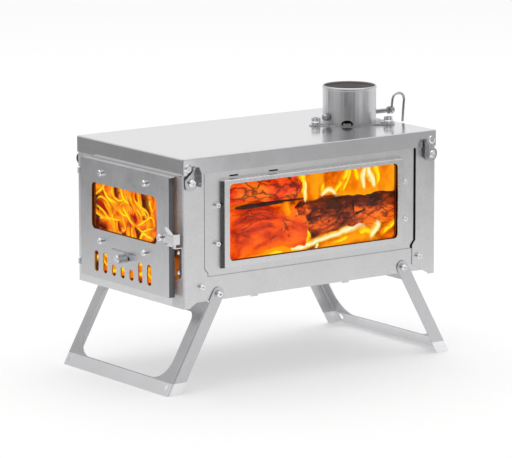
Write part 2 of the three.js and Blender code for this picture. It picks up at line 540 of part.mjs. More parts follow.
// A tab that leans out of the lever's sheet: its root spans rootX at height z, its tip spans tipX, `rise` away.
function leaningTab(rootX, tipX, z, rise, lean, face) {
  const section = ([x0, x1], y, height) => [[x0, y, height], [x1, y, height], [x1, y + SHEET, height], [x0, y + SHEET, height]];
  const corners = [...section(rootX, face, z), ...section(tipX, face + lean, z + rise)];
  const quads = [[3, 2, 1, 0], [4, 5, 6, 7], [0, 1, 5, 4], [1, 2, 6, 5], [2, 3, 7, 6], [3, 0, 4, 7]];
  const order = rise > 0 ? (q) => q : (q) => [...q].reverse();
  const faces = quads.map(order).flatMap(([a, b, c, d]) => [a, b, c, a, c, d]);
  const geometry = new THREE.BufferGeometry();
  geometry.setAttribute('position', new THREE.Float32BufferAttribute(faces.flatMap((i) => corners[i]), 3));
  return toSolid(geometry);
}
add('latch_lever', latchLever(), SATIN);
const latchScrew = socketScrew({ head: 4.2, rise: 3.4, shank: 1.7, length: 2.4, shoulder: SHEET + 2 * TOUCH, shoulderRadius: 1.8 });
add('latch_screw', aim(latchScrew, [0, -1, 0], [LATCH.x, doorFace - SHEET - 2 * TOUCH, LATCH.z]), STEEL);

function keeper() {
  const { left, right, top, foot, rivets } = KEEPER;
  const round = (right - left) / 2;
  const face = FRONT + PANEL_FACE;
  const strip = new THREE.Shape()
    .moveTo(right, top).lineTo(left, top).lineTo(left, foot + round)
    .absarc(left + round, foot + round, round, Math.PI, 2 * Math.PI);
  const catchLeft = DOOR.right + 1;
  const shelfOut = FRONT - 8.3;
  const shelf = box(catchLeft, shelfOut, top - 1, right, face, top);
  const lip = box(catchLeft, shelfOut, top - 1, right, shelfOut + 1, LATCH.z - 5 - 0.4);
  const holes = rivets.map((down) => bore(1.6, [0, 1, 0], [left + round, face - 4, LID_TOP - down]));
  return cut(join(slab(strip, 'front', face - 1, 1, 6), shelf, lip), ...holes);
}
add('latch_keeper', keeper(), SATIN);
KEEPER.rivets.forEach((down, i) => {
  const rivet = turned([[0, -2.6], [2.4, -2.6], [2.4, -1.9], [1.5, -1.8], [1.5, 0], [2.6, 0], [2.4, 0.8], [1.4, 1.4], [0, 1.5]], 14);
  const x = (KEEPER.left + KEEPER.right) / 2;
  add(`keeper_rivet_${i + 1}`, aim(rivet, [0, -1, 0], [x, FRONT + PANEL_FACE - 1, LID_TOP - down]), STEEL);
});

// ---- lid clasps ----
// Seen from +X, measured from the clasp's screw: a round foot, and a sloped shoulder that sweeps up round the lid's
// nub into an arm. The arm's far edge is bent out as a thumb wing.
function claspPlate() {
  const r = CLASP.radius;
  const arm = 8.6;
  const low = -r / 2;
  const [nubY, nubZ] = [NUB.y - CLASP.y, LID_TOP - NUB.down - CLASP.z];
  const outline = new THREE.Shape()
    .moveTo(arm, low).lineTo(arm, 16.4).lineTo(nubY + 5.4, 16.4)
    .absarc(nubY, nubZ, NUB.radius + 0.7, 0.2, -0.9, true)
    .absarc(0, 0, r, 2.65, 2 * Math.PI - 0.5236, false);
  const plate = slab(outline, 'side', 0, SHEET, 6);
  const out = CLASP.wingOut - CLASP.inner;
  const wing = polygon([[0, low], [out - 2.4, low], [out - 0.7, low + 0.8], [out, low + 2.6],
    [out, 10.6], [out - 4.2, 16.4], [0, 16.4]]);
  return cut(join(plate, slab(wing, 'front', arm - SHEET, SHEET)), bore(2.3, [1, 0, 0], [-2, 0, 0], 6));
}

function claspScrew() {
  const stand = CLASP.inner - PANEL_OUT - TOUCH;       // spacer that holds the clasp out past the lid's flange
  const neck = SHEET + 2 * TOUCH;
  const profile = [[0, -stand - 3], [1.4, -stand - 3], [1.4, -stand], [3.4, -stand], [3.4, 0], [2, 0], [2, neck],
    [4.4, neck], [4.2, neck + 2], [3.4, neck + 3], [0, neck + 3]];
  const socket = aim(rod(2.1, 2, 6), [0, 0, 1], [0, 0, neck + 1.4]);
  return cut(turned(profile, 14), socket);
}

const corners = [
  ['front_right', (solid) => solid],
  ['front_left', mirrorX],
  ['rear_right', mirrorEnds],
  ['rear_left', (solid) => mirrorX(mirrorEnds(solid))],
];
corners.forEach(([place, put]) => {
  add(`clasp_${place}`, put(claspPlate().translate([CLASP.inner, ...claspAt])), SATIN);
  add(`clasp_screw_${place}`, put(aim(claspScrew(), [1, 0, 0], [CLASP.inner - TOUCH, ...claspAt])), STEEL);
});

// ---- screws that hold the end panels to the tray, and the legs' pivots ----
corners.forEach(([place, put]) => {
  const fixing = aim(socketScrew({ length: 2.6 }), [1, 0, 0], [PANEL_OUT, FRONT + PANEL_SCREW.y, PANEL_SCREW.z]);
  const pivot = socketScrew({ head: 3.8, rise: 3.6, shank: 1.7, length: 1.4, shoulder: LEG_SHEET + 2 * TOUCH, shoulderRadius: 1.8 });
  const pivotSeat = TRAY_OUT + LEG_SHEET + 2 * TOUCH;
  add(`panel_screw_${place}`, put(fixing), STEEL);
  add(`leg_screw_${place}`, put(aim(pivot, [1, 0, 0], [pivotSeat, FRONT + LEG.pivotY, LEG.pivotZ])), STEEL);
});

// ---- leg frames ----
// Made upright about the pivot line (the X axis), with the frame's outer face toward +Y, then splayed.
function legFrame() {
  const { reach, plateOff, flange, out, barTop, openLow, openHigh, openHalf, filletLow, filletHigh, eye } = LEG;
  const mid = LEG_SHEET / 2;
  const side = out - mid;
  const face = plateOff - mid;
  const back = plateOff - flange;
  const section = bentSection([[-side, back], [-side, face], [side, face], [side, back]], LEG_SHEET, 1.6);
  const channel = slab(section, 'up', -reach - 1, barTop + 1);
  // Side view of the flanges: the foot is cut level with the ground, the top is a round eye on the pivot.
  const footRise = flange * Math.tan(SPLAY);
  const strip = polygon([[back, footRise - reach], [plateOff, -reach], [plateOff, barTop - reach], [back, barTop - reach]]);
  const eyeY = back + eye;
  const tongue = new THREE.Shape()
    .moveTo(back, barTop - reach - 2).lineTo(eyeY + eye - 1.2, barTop - reach - 2)
    .lineTo(eyeY + eye - 1.2, barTop - reach).lineTo(eyeY + eye, barTop - reach + 2)
    .absarc(eyeY, 0, eye, 0, Math.PI);
  const eyes = [-out, out - LEG_SHEET].map((x) => slab(tongue, 'side', x, LEG_SHEET, 6));
  const opening = slab(rectangleWithCorners(openHalf, openLow - reach, openHigh - reach, filletLow, filletHigh),
    'front', plateOff - 4, 8, 4);
  const holes = [-1, 1].map((hand) => bore(LEG.hole, [0, 1, 0], [hand * LEG.holeX, plateOff - 5, LEG.holeUp - reach]));
  const frame = channel.intersect(slab(strip, 'side', -out - 1, 2 * out + 2));
  return cut(join(frame, ...eyes), opening, ...holes, throughSides(2.1, 0, 0));
}

// A tall opening centred on u = 0, with its own fillets at the lower and the upper corners.
function rectangleWithCorners(half, low, high, lowFillet, highFillet) {
  return new THREE.Shape()
    .moveTo(lowFillet - half, low).lineTo(half - lowFillet, low)
    .absarc(half - lowFillet, low + lowFillet, lowFillet, -Math.PI / 2, 0)
    .lineTo(half, high - highFillet)
    .absarc(half - highFillet, high - highFillet, highFillet, 0, Math.PI / 2)
    .lineTo(highFillet - half, high)
    .absarc(highFillet - half, high - highFillet, highFillet, Math.PI / 2, Math.PI)
    .lineTo(-half, low + lowFillet)
    .absarc(lowFillet - half, low + lowFillet, lowFillet, Math.PI, 1.5 * Math.PI);
}

const rearLeg = legFrame().rotate([THREE.MathUtils.radToDeg(SPLAY), 0, 0]).translate([0, REAR - LEG.pivotY, LEG.pivotZ]);
add('rear_leg', rearLeg, BRUSHED);
add('front_leg', mirrorEnds(rearLeg), BRUSHED);

// ---- flue collar, its base plate and nuts ----

function archOpening(spare) {
  const half = 6.6 + spare;
  const arch = new THREE.Shape().moveTo(-half, plateTop - 2).lineTo(half, plateTop - 2).lineTo(half, plateTop + 0.6)
    .absellipse(0, plateTop + 0.6, half, 4.4 + spare, 0, Math.PI);
  return slab(arch, 'front', -FLUE.radius - 2, 6, 5);
}

function flueCollar() {
  const { radius: r, height } = FLUE;
  const top = LID_TOP + height;
  const foot = plateTop + 0.05;
  const wall = turned([
    [r, foot], [r, top - 4], [r + 0.5, top - 2.8], [r + 0.5, top - 1.5], [r, top - 0.5], [r - 0.8, top],
    [r - 1.5, top - 0.4], [r - 1.7, top - 1.3], [r - 0.9, top - 2.6], [r - 0.9, foot], [r, foot],
  ], 44);
  const axleHoles = bore(DAMPER.axle + TOUCH, [0, 1, 0], [0, -r - 5, DAMPER.z], 2 * r + 10);
  const arches = archAngles.map((angle) => archOpening(0).rotate([0, 0, angle + 90]));
  return cut(wall, axleHoles, ...arches).translate([0, flueY, 0]);
}
add('flue_collar', flueCollar(), SATIN);

function basePlate() {
  const low = LID_TOP + 0.05;
  const disk = slab(disc(0, 0, FLUE.plateRadius), 'up', low, FLUE.plate, 20);
  const ear = new THREE.Shape()
    .moveTo(-10, -34).lineTo(-7.6, -FLUE.nutCircle).absarc(0, -FLUE.nutCircle, 7.6, Math.PI, 2 * Math.PI).lineTo(10, -34);
  const ears = nutAngles.map((angle) => slab(ear, 'up', low, FLUE.plate, 5).rotate([0, 0, angle + 90]));
  const tongue = polygon([[-4.4, low], [4.4, low], [4.4, plateTop + 1], [3.2, plateTop + 2], [2, plateTop + 1],
    [0.9, plateTop + 1.4], [-0.9, plateTop + 1.4], [-2, plateTop + 1], [-3.2, plateTop + 2], [-4.4, plateTop + 1]]);
  const tongues = archAngles.map((angle) => slab(tongue, 'front', -FLUE.radius - 0.1, 1).rotate([0, 0, angle + 90]));
  const hole = slab(disc(0, 0, FLUE.bore), 'up', low - 1, 4, 16);
  const plate = cut(join(disk, ...ears, ...tongues), hole).translate([0, flueY, 0]);
  return cut(plate, ...nutAngles.flatMap((angle) => flueKeyholes(angle, low - 1)));
}
add('flue_base_plate', basePlate(), SATIN);

function collarNut() {
  const stem = turned([[0, -3], [2, -3], [2, 0], [3.4, 0], [3.4, 6.4], [0, 6.4]], 12);
  const lower = knurled(4.9, 0.6, 11, 3);
  const collar = turned([[0, 3], [5.7, 3], [6, 3.5], [5.5, 4], [0, 4]], 18);
  const upper = cut(knurled(4.9, 0.6, 11, 3.9).translate([0, 0, 4]), rod(3, 3, 12).translate([0, 0, 6.4]));
  return join(stem, lower, collar, upper).translate([0, 0, 0.05]);
}
nutAngles.forEach((angle, i) => {
  const nut = collarNut().translate([0, -FLUE.nutCircle, plateTop]);
  add(`collar_nut_${i + 1}`, aroundFlue(nut, angle), STEEL);
});

// ---- damper: a disc on an axle through the collar, closed by a cap nut, a spring and a wire handle ----
const collarRear = flueY + FLUE.radius;
const collarFront = flueY - FLUE.radius;
const SPRING = { start: collarRear + 0.05, end: FRONT + 353.4, coil: 2.45, wire: 0.4, turns: 11 };

function damperDisc() {
  const plate = aim(rod(DAMPER.disc, DAMPER.thick, 36), [1, 0, 0], [-DAMPER.thick / 2, flueY, DAMPER.z]);
  const sleeve = aim(rod(DAMPER.axle + 1.2, 44), [0, 1, 0], [0, flueY - 22, DAMPER.z]);
  return cut(join(plate, sleeve), bore(DAMPER.axle + 0.02, [0, 1, 0], [0, flueY - 40, DAMPER.z], 80));
}
add('damper_disc', damperDisc(), BRUSHED);

// The axle runs from inside the cap nut to a solid head behind the spring, drilled across for the wire handle.
function damperAxle() {
  const nose = collarFront - 4.4;
  const headFrom = FRONT + HANDLE.y - 2.5;
  const headTo = FRONT + HANDLE.y + 2.4;
  const shaft = aim(rod(DAMPER.axle, headFrom + 1 - nose), [0, 1, 0], [0, nose, DAMPER.z]);
  const head = turned([[0, 0], [HANDLE.head, 0], [HANDLE.head, 3.8], [2.6, headTo - headFrom], [0, headTo - headFrom]], 16);
  const crossHole = bore(HANDLE.gauge + 0.12, [0, 0, 1], [0, FRONT + HANDLE.y, DAMPER.z - 6], 14);
  return cut(join(shaft, aim(head, [0, 1, 0], [0, headFrom, DAMPER.z])), crossHole);
}
add('damper_axle', damperAxle(), STEEL);

const nutProfile = [[0, -1.2], [4.7, -1.2], [4.7, 0], [4, 0.1], [4, 3.1], [3.2, 4.9], [1.7, 5.9], [0, 6.1]];
const capNut = cut(turned(nutProfile, 12), rod(DAMPER.axle + 0.02, 6).translate([0, 0, -1.8]));
add('damper_nut', aim(capNut, [0, -1, 0], [0, collarFront - TOUCH - 1.2, DAMPER.z]), STEEL);
const hexNut = cut(rod(4.5, 2.4, 6), rod(DAMPER.axle + 0.02, 4).translate([0, 0, -1]));
add('damper_washer', aim(hexNut, [0, 1, 0], [0, SPRING.end + TOUCH, DAMPER.z]), STEEL);

// ---- damper spring: one wire wound round the axle, square to the collar and to the washer at its ends ----
class SpringPath extends THREE.Curve {
  getPoint(t, target = new THREE.Vector3()) {
    const { coil, wire, start, end, turns } = SPRING;
    const straight = 2 * wire;
    const length = end - start;
    const along = t * length;
    const part = THREE.MathUtils.clamp((along - straight) / (length - 2 * straight), 0, 1);
    const angle = part * turns * 2 * Math.PI;
    return target.set(coil * Math.cos(angle), start + along, DAMPER.z + coil * Math.sin(angle));
  }
}

function springSolid() {
  const { coil, wire, start, end, turns } = SPRING;
  const path = new SpringPath();
  const straight = 2 * wire;
  const length = end - start;
  const steps = turns * 8;
  const stops = [0, straight / length];
  for (let i = 1; i < steps; i += 1) stops.push((straight + (i / steps) * (length - 2 * straight)) / length);
  stops.push(1 - straight / length, 1);
  const sides = 5;
  const rings = stops.map((t) => {
    const centre = path.getPoint(t);
    const out = new THREE.Vector3(centre.x, 0, centre.z - DAMPER.z).normalize();
    const run = (2 * Math.PI * coil * turns) / (length - 2 * straight);
    const coiled = t > 0 && t < 1;
    const around = new THREE.Vector3().crossVectors(out, new THREE.Vector3(0, 1, 0)).negate();
    const tangent = coiled ? around.multiplyScalar(run).add(new THREE.Vector3(0, 1, 0)).normalize() : new THREE.Vector3(0, 1, 0);
    const across = new THREE.Vector3().crossVectors(tangent, out).normalize();
    return Array.from({ length: sides }, (_, k) => {
      const a = (k / sides) * 2 * Math.PI;
      return centre.clone().addScaledVector(out, wire * Math.cos(a)).addScaledVector(across, wire * Math.sin(a));
    });
  });
  const points = rings.flat();
  const faces = [];
  for (let i = 0; i + 1 < rings.length; i += 1) {
    for (let k = 0; k < sides; k += 1) {
      const [a, b] = [i * sides + k, i * sides + ((k + 1) % sides)];
      faces.push([a, b + sides, b], [a, a + sides, b + sides]);
    }
  }
  const last = (rings.length - 1) * sides;
  for (let k = 1; k + 1 < sides; k += 1) faces.push([0, k, k + 1], [last, last + k + 1, last + k]);
  const geometry = new THREE.BufferGeometry();
  geometry.setAttribute('position', new THREE.Float32BufferAttribute(faces.flatMap((f) => f.flatMap((i) => points[i].toArray())), 3));
  reportSpringGap(rings);
  return toSolid(geometry);
}

// Least air between one turn of the spring and the next, measured on its surface points.
function reportSpringGap(rings) {
  let least = Infinity;
  rings.forEach((ring, i) => rings.slice(i + 6).forEach((other) => ring.forEach((p) => other.forEach((q) => {
    least = Math.min(least, p.distanceTo(q));
  }))));
  console.error(`damper_spring: least gap between turns ${least.toFixed(2)} mm`);
}
add('damper_spring', springSolid(), STEEL);

// ---- damper handle: round wire bent into a hook behind the lid ----
function handleSolid() {
  const route = [[0, -4.2], [0, 0], [0, 4], [0.5, 9], [1.1, 12.5], [3.4, 16.4], [9.6, 18.2], [15.2, 16.2], [17.3, 11.6],
    [16.8, 4], [16.1, -5], [15.3, -14.7]];
  const path = new THREE.CatmullRomCurve3(route.map(([dy, dz]) => (
    new THREE.Vector3(0, FRONT + HANDLE.y + dy, DAMPER.z + dz))), false, 'centripetal');
  const wire = new THREE.Shape(Array.from({ length: 9 }, (_, k) => new THREE.Vector2(
    HANDLE.gauge * Math.cos((k / 9) * 2 * Math.PI), HANDLE.gauge * Math.sin((k / 9) * 2 * Math.PI))));
  return toSolid(new THREE.ExtrudeGeometry(wire, { steps: 26, extrudePath: path, curveSegments: 1 }));
}
add('damper_handle', handleSolid(), STEEL);

export default group;
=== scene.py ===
"""Folding titanium tent stove with a lit fire, dressed in the order in which it is put together.

Lengths are millimetres in the stove's own measure: x from its middle, y back from the lid's front edge,
and z up from the lid's top face. place() turns them into metres in the row's frame.
"""
import math

import bpy
from mathutils import Matrix, Vector, noise


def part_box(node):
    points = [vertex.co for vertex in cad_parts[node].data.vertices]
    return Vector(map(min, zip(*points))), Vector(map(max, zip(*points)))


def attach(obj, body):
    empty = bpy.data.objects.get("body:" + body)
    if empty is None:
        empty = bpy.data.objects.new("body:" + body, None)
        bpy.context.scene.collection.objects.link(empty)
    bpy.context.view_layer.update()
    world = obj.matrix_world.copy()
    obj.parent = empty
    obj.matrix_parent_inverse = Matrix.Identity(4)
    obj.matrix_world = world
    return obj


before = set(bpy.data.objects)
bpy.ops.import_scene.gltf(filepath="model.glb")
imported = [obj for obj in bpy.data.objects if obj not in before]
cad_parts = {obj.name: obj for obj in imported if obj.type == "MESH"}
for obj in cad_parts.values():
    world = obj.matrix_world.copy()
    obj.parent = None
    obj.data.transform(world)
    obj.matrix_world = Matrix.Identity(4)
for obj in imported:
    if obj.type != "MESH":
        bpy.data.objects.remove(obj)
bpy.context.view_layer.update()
bpy.context.scene.view_settings.view_transform = "Standard"

lid_low, lid_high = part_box("top_plate")


def place(x, y, z):
    return Vector((x / 1000, lid_low.y + y / 1000, lid_high.z + z / 1000))


# ---- Camera ----
# A long lens from the stove's front right, a little above it, fitted to the photograph's straight edges.
# Fire behind the windows is placed along its line of sight.
CAMERA_AT = (3246.52, -2184.92, 638.90)
AHEAD = Vector((-0.79589, 0.57708, -0.18311)).normalized()
RIGHT = Vector((0.58721, 0.80944, -0.00131)).normalized()

lens = bpy.data.cameras.new("photo_camera")
lens.sensor_width = 36
lens.sensor_fit = "HORIZONTAL"
lens.lens = 259.26
lens.clip_end = 60
camera = bpy.data.objects.new("photo_camera", lens)
camera.matrix_world = (
    Matrix.Translation(place(*CAMERA_AT))
    @ Matrix((RIGHT, RIGHT.cross(AHEAD), -AHEAD)).transposed().to_4x4()
)
bpy.context.collection.objects.link(camera)
bpy.context.scene.camera = camera


# ---- Light tent: paper floor, soft sky, one softbox and three grey flags ----
# White matt paper lies under the stove and keeps its shadow. The tent is brightest behind the stove and
# overhead, and the flags are grey boards outside the picture, which only the polished metal mirrors.
PAPER = 0.72
PAPER_LIFT = 0.3  # what the lit paper lacks to look white
PAPER_REACH = 30  # metres to each side
TENT_STRENGTH = 0.88
BEHIND_STOVE = (-0.8096, 0.5870, 0.0)  # level, straight away from the camera
SOFTBOX_AT, SOFTBOX_AIM = Vector((-0.6, 0.3, 3.2)), Vector((0, 0, 0.1))
FLAGS = [
    # name, place (x, y) and what it faces, width and height in metres, grey
    ("left_flag", (-0.70, -0.70), (0.0, -0.19), 0.5, 0.3, 0.28),
    ("right_flag", (0.82, 0.70), (0.1, 0.1), 0.62, 0.8, 0.42),
    ("camera_flag", (0.97, -0.58), (0.0, 0.12), 1.5, 0.5, 0.12),
]


def linear(hexcode):
    """A linear RGBA colour from the hex code of an sRGB colour."""
    channels = [int(hexcode[i : i + 2], 16) / 255 for i in (0, 2, 4)]
    return (*[c / 12.92 if c <= 0.04045 else ((c + 0.055) / 1.055) ** 2.4 for c in channels], 1)


def grey(level):
    return (level, level, level, 1)


def add_node(tree, kind, inputs=None, stops=None, **settings):
    """Adds a node with its settings, its ramp's stops, and a value or a link for each input."""
    node = tree.nodes.new(kind)
    for key, value in settings.items():
        setattr(node, key, value)
    for key, value in (inputs or {}).items():
        if isinstance(value, bpy.types.NodeSocket):
            tree.links.new(value, node.inputs[key])
        else:
            node.inputs[key].default_value = value
    if stops:
        elements = node.color_ramp.elements
        while len(elements) < len(stops):
            elements.new(0.5)
        for element, (position, colour) in zip(elements, stops):
            element.position = position
            element.color = linear(colour) if isinstance(colour, str) else grey(colour)
    return node


def new_material(name):
    material = bpy.data.materials.new(name)
    material.use_nodes = True
    material.node_tree.nodes.clear()
    return material, material.node_tree


def surface(tree, shader):
    output = tree.nodes.new("ShaderNodeOutputMaterial")
    tree.links.new(shader.outputs[0], output.inputs["Surface"])


def seen_directly(tree, *more):
    """1 for what the camera sees, straight or through glass, and for other kinds of ray that are named."""
    rays = add_node(tree, "ShaderNodeLightPath").outputs
    seen = rays["Is Camera Ray"]
    for kind in ("Is Transmission Ray", *more):
        seen = add_node(tree, "ShaderNodeMath", {0: seen, 1: rays[kind]}, operation="MAXIMUM").outputs[0]
    return seen


def add_sky():
    """The tent as the metal and the paper see it; the camera and the glass see it plain white."""
    world = bpy.data.worlds.new("light_tent")
    world.use_nodes = True
    tree = world.node_tree
    tree.nodes.clear()
    direction = add_node(tree, "ShaderNodeTexCoord").outputs["Generated"]
    behind = add_node(
        tree, "ShaderNodeVectorMath", {0: direction, 1: BEHIND_STOVE}, operation="DOT_PRODUCT"
    ).outputs["Value"]
    share = add_node(tree, "ShaderNodeMapRange", {"Value": behind, "From Min": -1.0}).outputs["Result"]
    walls = add_node(
        tree, "ShaderNodeValToRGB", {"Fac": share},
        [(0, 0.3), (0.35, 0.6), (0.62, 0.45), (0.8, 0.8), (0.95, 1.0)],
    ).outputs["Color"]
    height = add_node(tree, "ShaderNodeSeparateXYZ", {"Vector": direction}).outputs["Z"]
    roof = add_node(tree, "ShaderNodeValToRGB", {"Fac": height}, [(0.1, 0.0), (0.75, 1.0)]).outputs["Color"]
    cloth = add_node(
        tree, "ShaderNodeMix", {"Factor": roof, "A": walls, "B": grey(1)}, data_type="RGBA"
    ).outputs["Result"]
    lit = add_node(tree, "ShaderNodeBackground", {"Color": cloth, "Strength": TENT_STRENGTH}).outputs[0]
    white = add_node(tree, "ShaderNodeBackground", {"Color": grey(1), "Strength": 1.0}).outputs[0]
    sky = add_node(tree, "ShaderNodeMixShader", {0: seen_directly(tree), 1: lit, 2: white})
    output = tree.nodes.new("ShaderNodeOutputWorld")
    tree.links.new(sky.outputs[0], output.inputs["Surface"])
    bpy.context.scene.world = world


def add_floor():
    """Paper that takes the shadow, lifted to white for the camera, the glass and the metal."""
    far = PAPER_REACH
    mesh = bpy.data.meshes.new("studio_floor")
    mesh.from_pydata([(-far, -far, 0), (far, -far, 0), (far, far, 0), (-far, far, 0)], [], [(0, 1, 2, 3)])
    floor = bpy.data.objects.new("studio_floor", mesh)
    bpy.context.collection.objects.link(floor)
    material, tree = new_material("matt_white_paper")
    seen = seen_directly(tree, "Is Glossy Ray")
    lift = add_node(tree, "ShaderNodeMath", {0: seen, 1: PAPER_LIFT}, operation="MULTIPLY")
    surface(tree, add_node(tree, "ShaderNodeBsdfPrincipled", {
        "Base Color": grey(PAPER),
        "Roughness": 0.9,
        "Emission Color": grey(1),
        "Emission Strength": lift.outputs[0],
    }))
    mesh.materials.append(material)


def add_softbox():
    data = bpy.data.lights.new("overhead_softbox", "AREA")
    data.size = 3.4
    data.energy = 30
    softbox = bpy.data.objects.new("overhead_softbox", data)
    bpy.context.collection.objects.link(softbox)
    softbox.location = SOFTBOX_AT
    softbox.rotation_mode = "QUATERNION"
    softbox.rotation_quaternion = (SOFTBOX_AIM - SOFTBOX_AT).to_track_quat("-Z", "Y")
    softbox.visible_camera = False


def add_flag(name, at, facing, width, height, level):
    away = Vector((at[0] - facing[0], at[1] - facing[1], 0)).normalized()
    along = Vector((-away.y, away.x, 0)) * (width / 2)
    foot = Vector((*at, 0))
    rise = Vector((0, 0, height))
    corners = [foot - along, foot + along, foot + along + rise, foot - along + rise]
    mesh = bpy.data.meshes.new(name)
    mesh.from_pydata(corners, [], [(0, 1, 2, 3)])
    flag = bpy.data.objects.new(name, mesh)
    bpy.context.collection.objects.link(flag)
    material, tree = new_material(name + "_grey_board")
    surface(tree, add_node(tree, "ShaderNodeEmission", {"Color": grey(level), "Strength": 1.0}))
    mesh.materials.append(material)
    flag.visible_camera = flag.visible_diffuse = flag.visible_shadow = flag.visible_transmission = False


add_sky()
add_floor()
add_softbox()
for settings in FLAGS:
    add_flag(*settings)


# ---- Lid ----
# One pressed tray of 0.7 mm titanium sheet, rolled smooth and left bright, with folded corners. It mirrors
# the collar and the nuts softly. Its underside, like every face in the firebox, is black with soot.
FIREBOX = ((-98.6, 2.2, -156.6), (98.6, 339.8, -0.4))  # two opposite corners
SOOT = "1E1611"
MOTTLE_SIZE, DENT_SIZE = 28, 70


def inside(tree, where, low, high):
    """A mask that is 1 between two opposite corners and 0 elsewhere."""
    a, b = place(*low), place(*high)
    offset = add_node(
        tree, "ShaderNodeVectorMath", {0: where, 1: (a + b) / 2}, operation="SUBTRACT"
    ).outputs["Vector"]
    share = add_node(
        tree, "ShaderNodeVectorMath", {0: offset, 1: (b - a) / 2}, operation="DIVIDE"
    ).outputs["Vector"]
    size = add_node(tree, "ShaderNodeVectorMath", {0: share}, operation="ABSOLUTE").outputs["Vector"]
    x, y, z = add_node(tree, "ShaderNodeSeparateXYZ", {"Vector": size}).outputs
    most = add_node(tree, "ShaderNodeMath", {0: x, 1: y}, operation="MAXIMUM").outputs[0]
    most = add_node(tree, "ShaderNodeMath", {0: most, 1: z}, operation="MAXIMUM").outputs[0]
    return add_node(tree, "ShaderNodeMath", {0: most, 1: 1.0}, operation="LESS_THAN").outputs[0]


def titanium(
    name, hexcode, roughness, brush=(30, 0.8, 0.8), depth=0.05, uneven=0.05, tint=0.1, dents=0.1,
    patches=(), dull=(),
):
    """Rolled sheet: a soft metal sheen under brush marks, faint mottling and shallow dents. Patches between
    two corners have another colour, and dull ones are less metallic. Brush marks are given by length,
    width and height, drawn far coarser than real ones so that they show."""
    material, tree = new_material(name)
    where = add_node(tree, "ShaderNodeTexCoord").outputs["Object"]
    scale = [1000 / size for size in brush]
    lined = add_node(
        tree, "ShaderNodeVectorMath", {0: where, 1: scale}, operation="MULTIPLY"
    ).outputs["Vector"]
    lines = add_node(
        tree, "ShaderNodeTexNoise", {"Vector": lined, "Scale": 1.0, "Detail": 3.0}
    ).outputs["Fac"]
    clouds = add_node(
        tree, "ShaderNodeTexNoise",
        {"Vector": where, "Scale": 1000 / MOTTLE_SIZE, "Detail": 6.0, "Roughness": 0.7},
    ).outputs["Fac"]
    waves = add_node(
        tree, "ShaderNodeTexNoise", {"Vector": where, "Scale": 1000 / DENT_SIZE, "Detail": 1.0}
    ).outputs["Fac"]
    marks = add_node(tree, "ShaderNodeMath", {0: lines, 1: clouds}, operation="ADD").outputs[0]
    share = add_node(
        tree, "ShaderNodeMapRange", {"Value": marks, "From Min": 0.75, "From Max": 1.25}
    ).outputs["Result"]
    rough = add_node(
        tree, "ShaderNodeMapRange",
        {"Value": share, "To Min": roughness - uneven, "To Max": roughness + uneven},
    ).outputs["Result"]
    base = linear(hexcode)
    darker = (*[c * (1 - tint) for c in base[:3]], 1)
    colour = add_node(
        tree, "ShaderNodeMix", {"Factor": share, "A": darker, "B": base}, data_type="RGBA"
    ).outputs["Result"]
    for low, high, patch in patches:
        mask = inside(tree, where, low, high)
        colour = add_node(
            tree, "ShaderNodeMix", {"Factor": mask, "A": colour, "B": linear(patch)}, data_type="RGBA"
        ).outputs["Result"]
    bright = 1.0
    for low, high in dull:
        mask = inside(tree, where, low, high)
        bright = add_node(
            tree, "ShaderNodeMath", {0: mask, 1: -0.75, 2: bright}, operation="MULTIPLY_ADD"
        ).outputs[0]
    soot = inside(tree, where, *FIREBOX)
    colour = add_node(
        tree, "ShaderNodeMix", {"Factor": soot, "A": colour, "B": linear(SOOT)}, data_type="RGBA"
    ).outputs["Result"]
    rough = add_node(tree, "ShaderNodeMath", {0: rough, 1: soot}, operation="ADD", use_clamp=True).outputs[0]
    bright = add_node(
        tree, "ShaderNodeMath", {0: bright, 1: soot}, operation="SUBTRACT", use_clamp=True
    ).outputs[0]
    dented = add_node(
        tree, "ShaderNodeBump", {"Height": waves, "Strength": dents, "Distance": 0.002}
    ).outputs["Normal"]
    normal = add_node(
        tree, "ShaderNodeBump", {"Height": lines, "Strength": depth, "Distance": 0.0002, "Normal": dented}
    ).outputs["Normal"]
    surface(tree, add_node(
        tree,
        "ShaderNodeBsdfPrincipled",
        {"Base Color": colour, "Metallic": bright, "Roughness": rough, "Normal": normal},
    ))
    return material


CREASE, SHARP = math.radians(35), math.radians(50)  # kept as a line, and rounded as an edge


def dress(material, *names, edge=0.18):
    """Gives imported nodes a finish, smooth curves, and edges rounded by so many millimetres."""
    for name in names:
        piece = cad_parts[name]
        piece.data.materials.clear()
        piece.data.materials.append(material)
        for face in piece.data.polygons:
            face.use_smooth = True
            face.material_index = 0
        piece.data.set_sharp_from_angle(angle=CREASE)
        if edge:
            bevel = piece.modifiers.new("soft_edges", "BEVEL")
            bevel.width = edge / 1000
            bevel.segments = 2
            bevel.limit_method = "ANGLE"
            bevel.angle_limit = SHARP
            bevel.harden_normals = True


dress(
    titanium("rolled_titanium_lid", "EAEAEC", 0.15, depth=0.02, uneven=0.03, tint=0.04, dents=0.08),
    "top_plate",
)


# ---- Body: end panels, side walls and floor tray ----
# Folded titanium sheet with a satin mill finish, whose faint mottling shows in flat light. The face that
# the door covers has the brown heat tint that titanium takes on beside a fire. The strip beside it is dull.
# This brown is heat tint on the front panel. On the window and door retainers it is heat tint together with
# painted firelight.
HEAT_TINT_AND_FIRELIGHT = "94623E"

dress(
    titanium("satin_titanium_body", "E0E0E1", 0.34, brush=(9, 1.6, 1.6), tint=0.14, patches=[
        ((-76, -0.5, -150), (80.4, 2.3, -24), HEAT_TINT_AND_FIRELIGHT),
    ], dull=[
        ((80.4, -0.5, -161), (101.5, 2.3, -19)),
    ]),
    "front_panel", "rear_panel", "side_panel_right", "side_panel_left", "floor_tray",
)
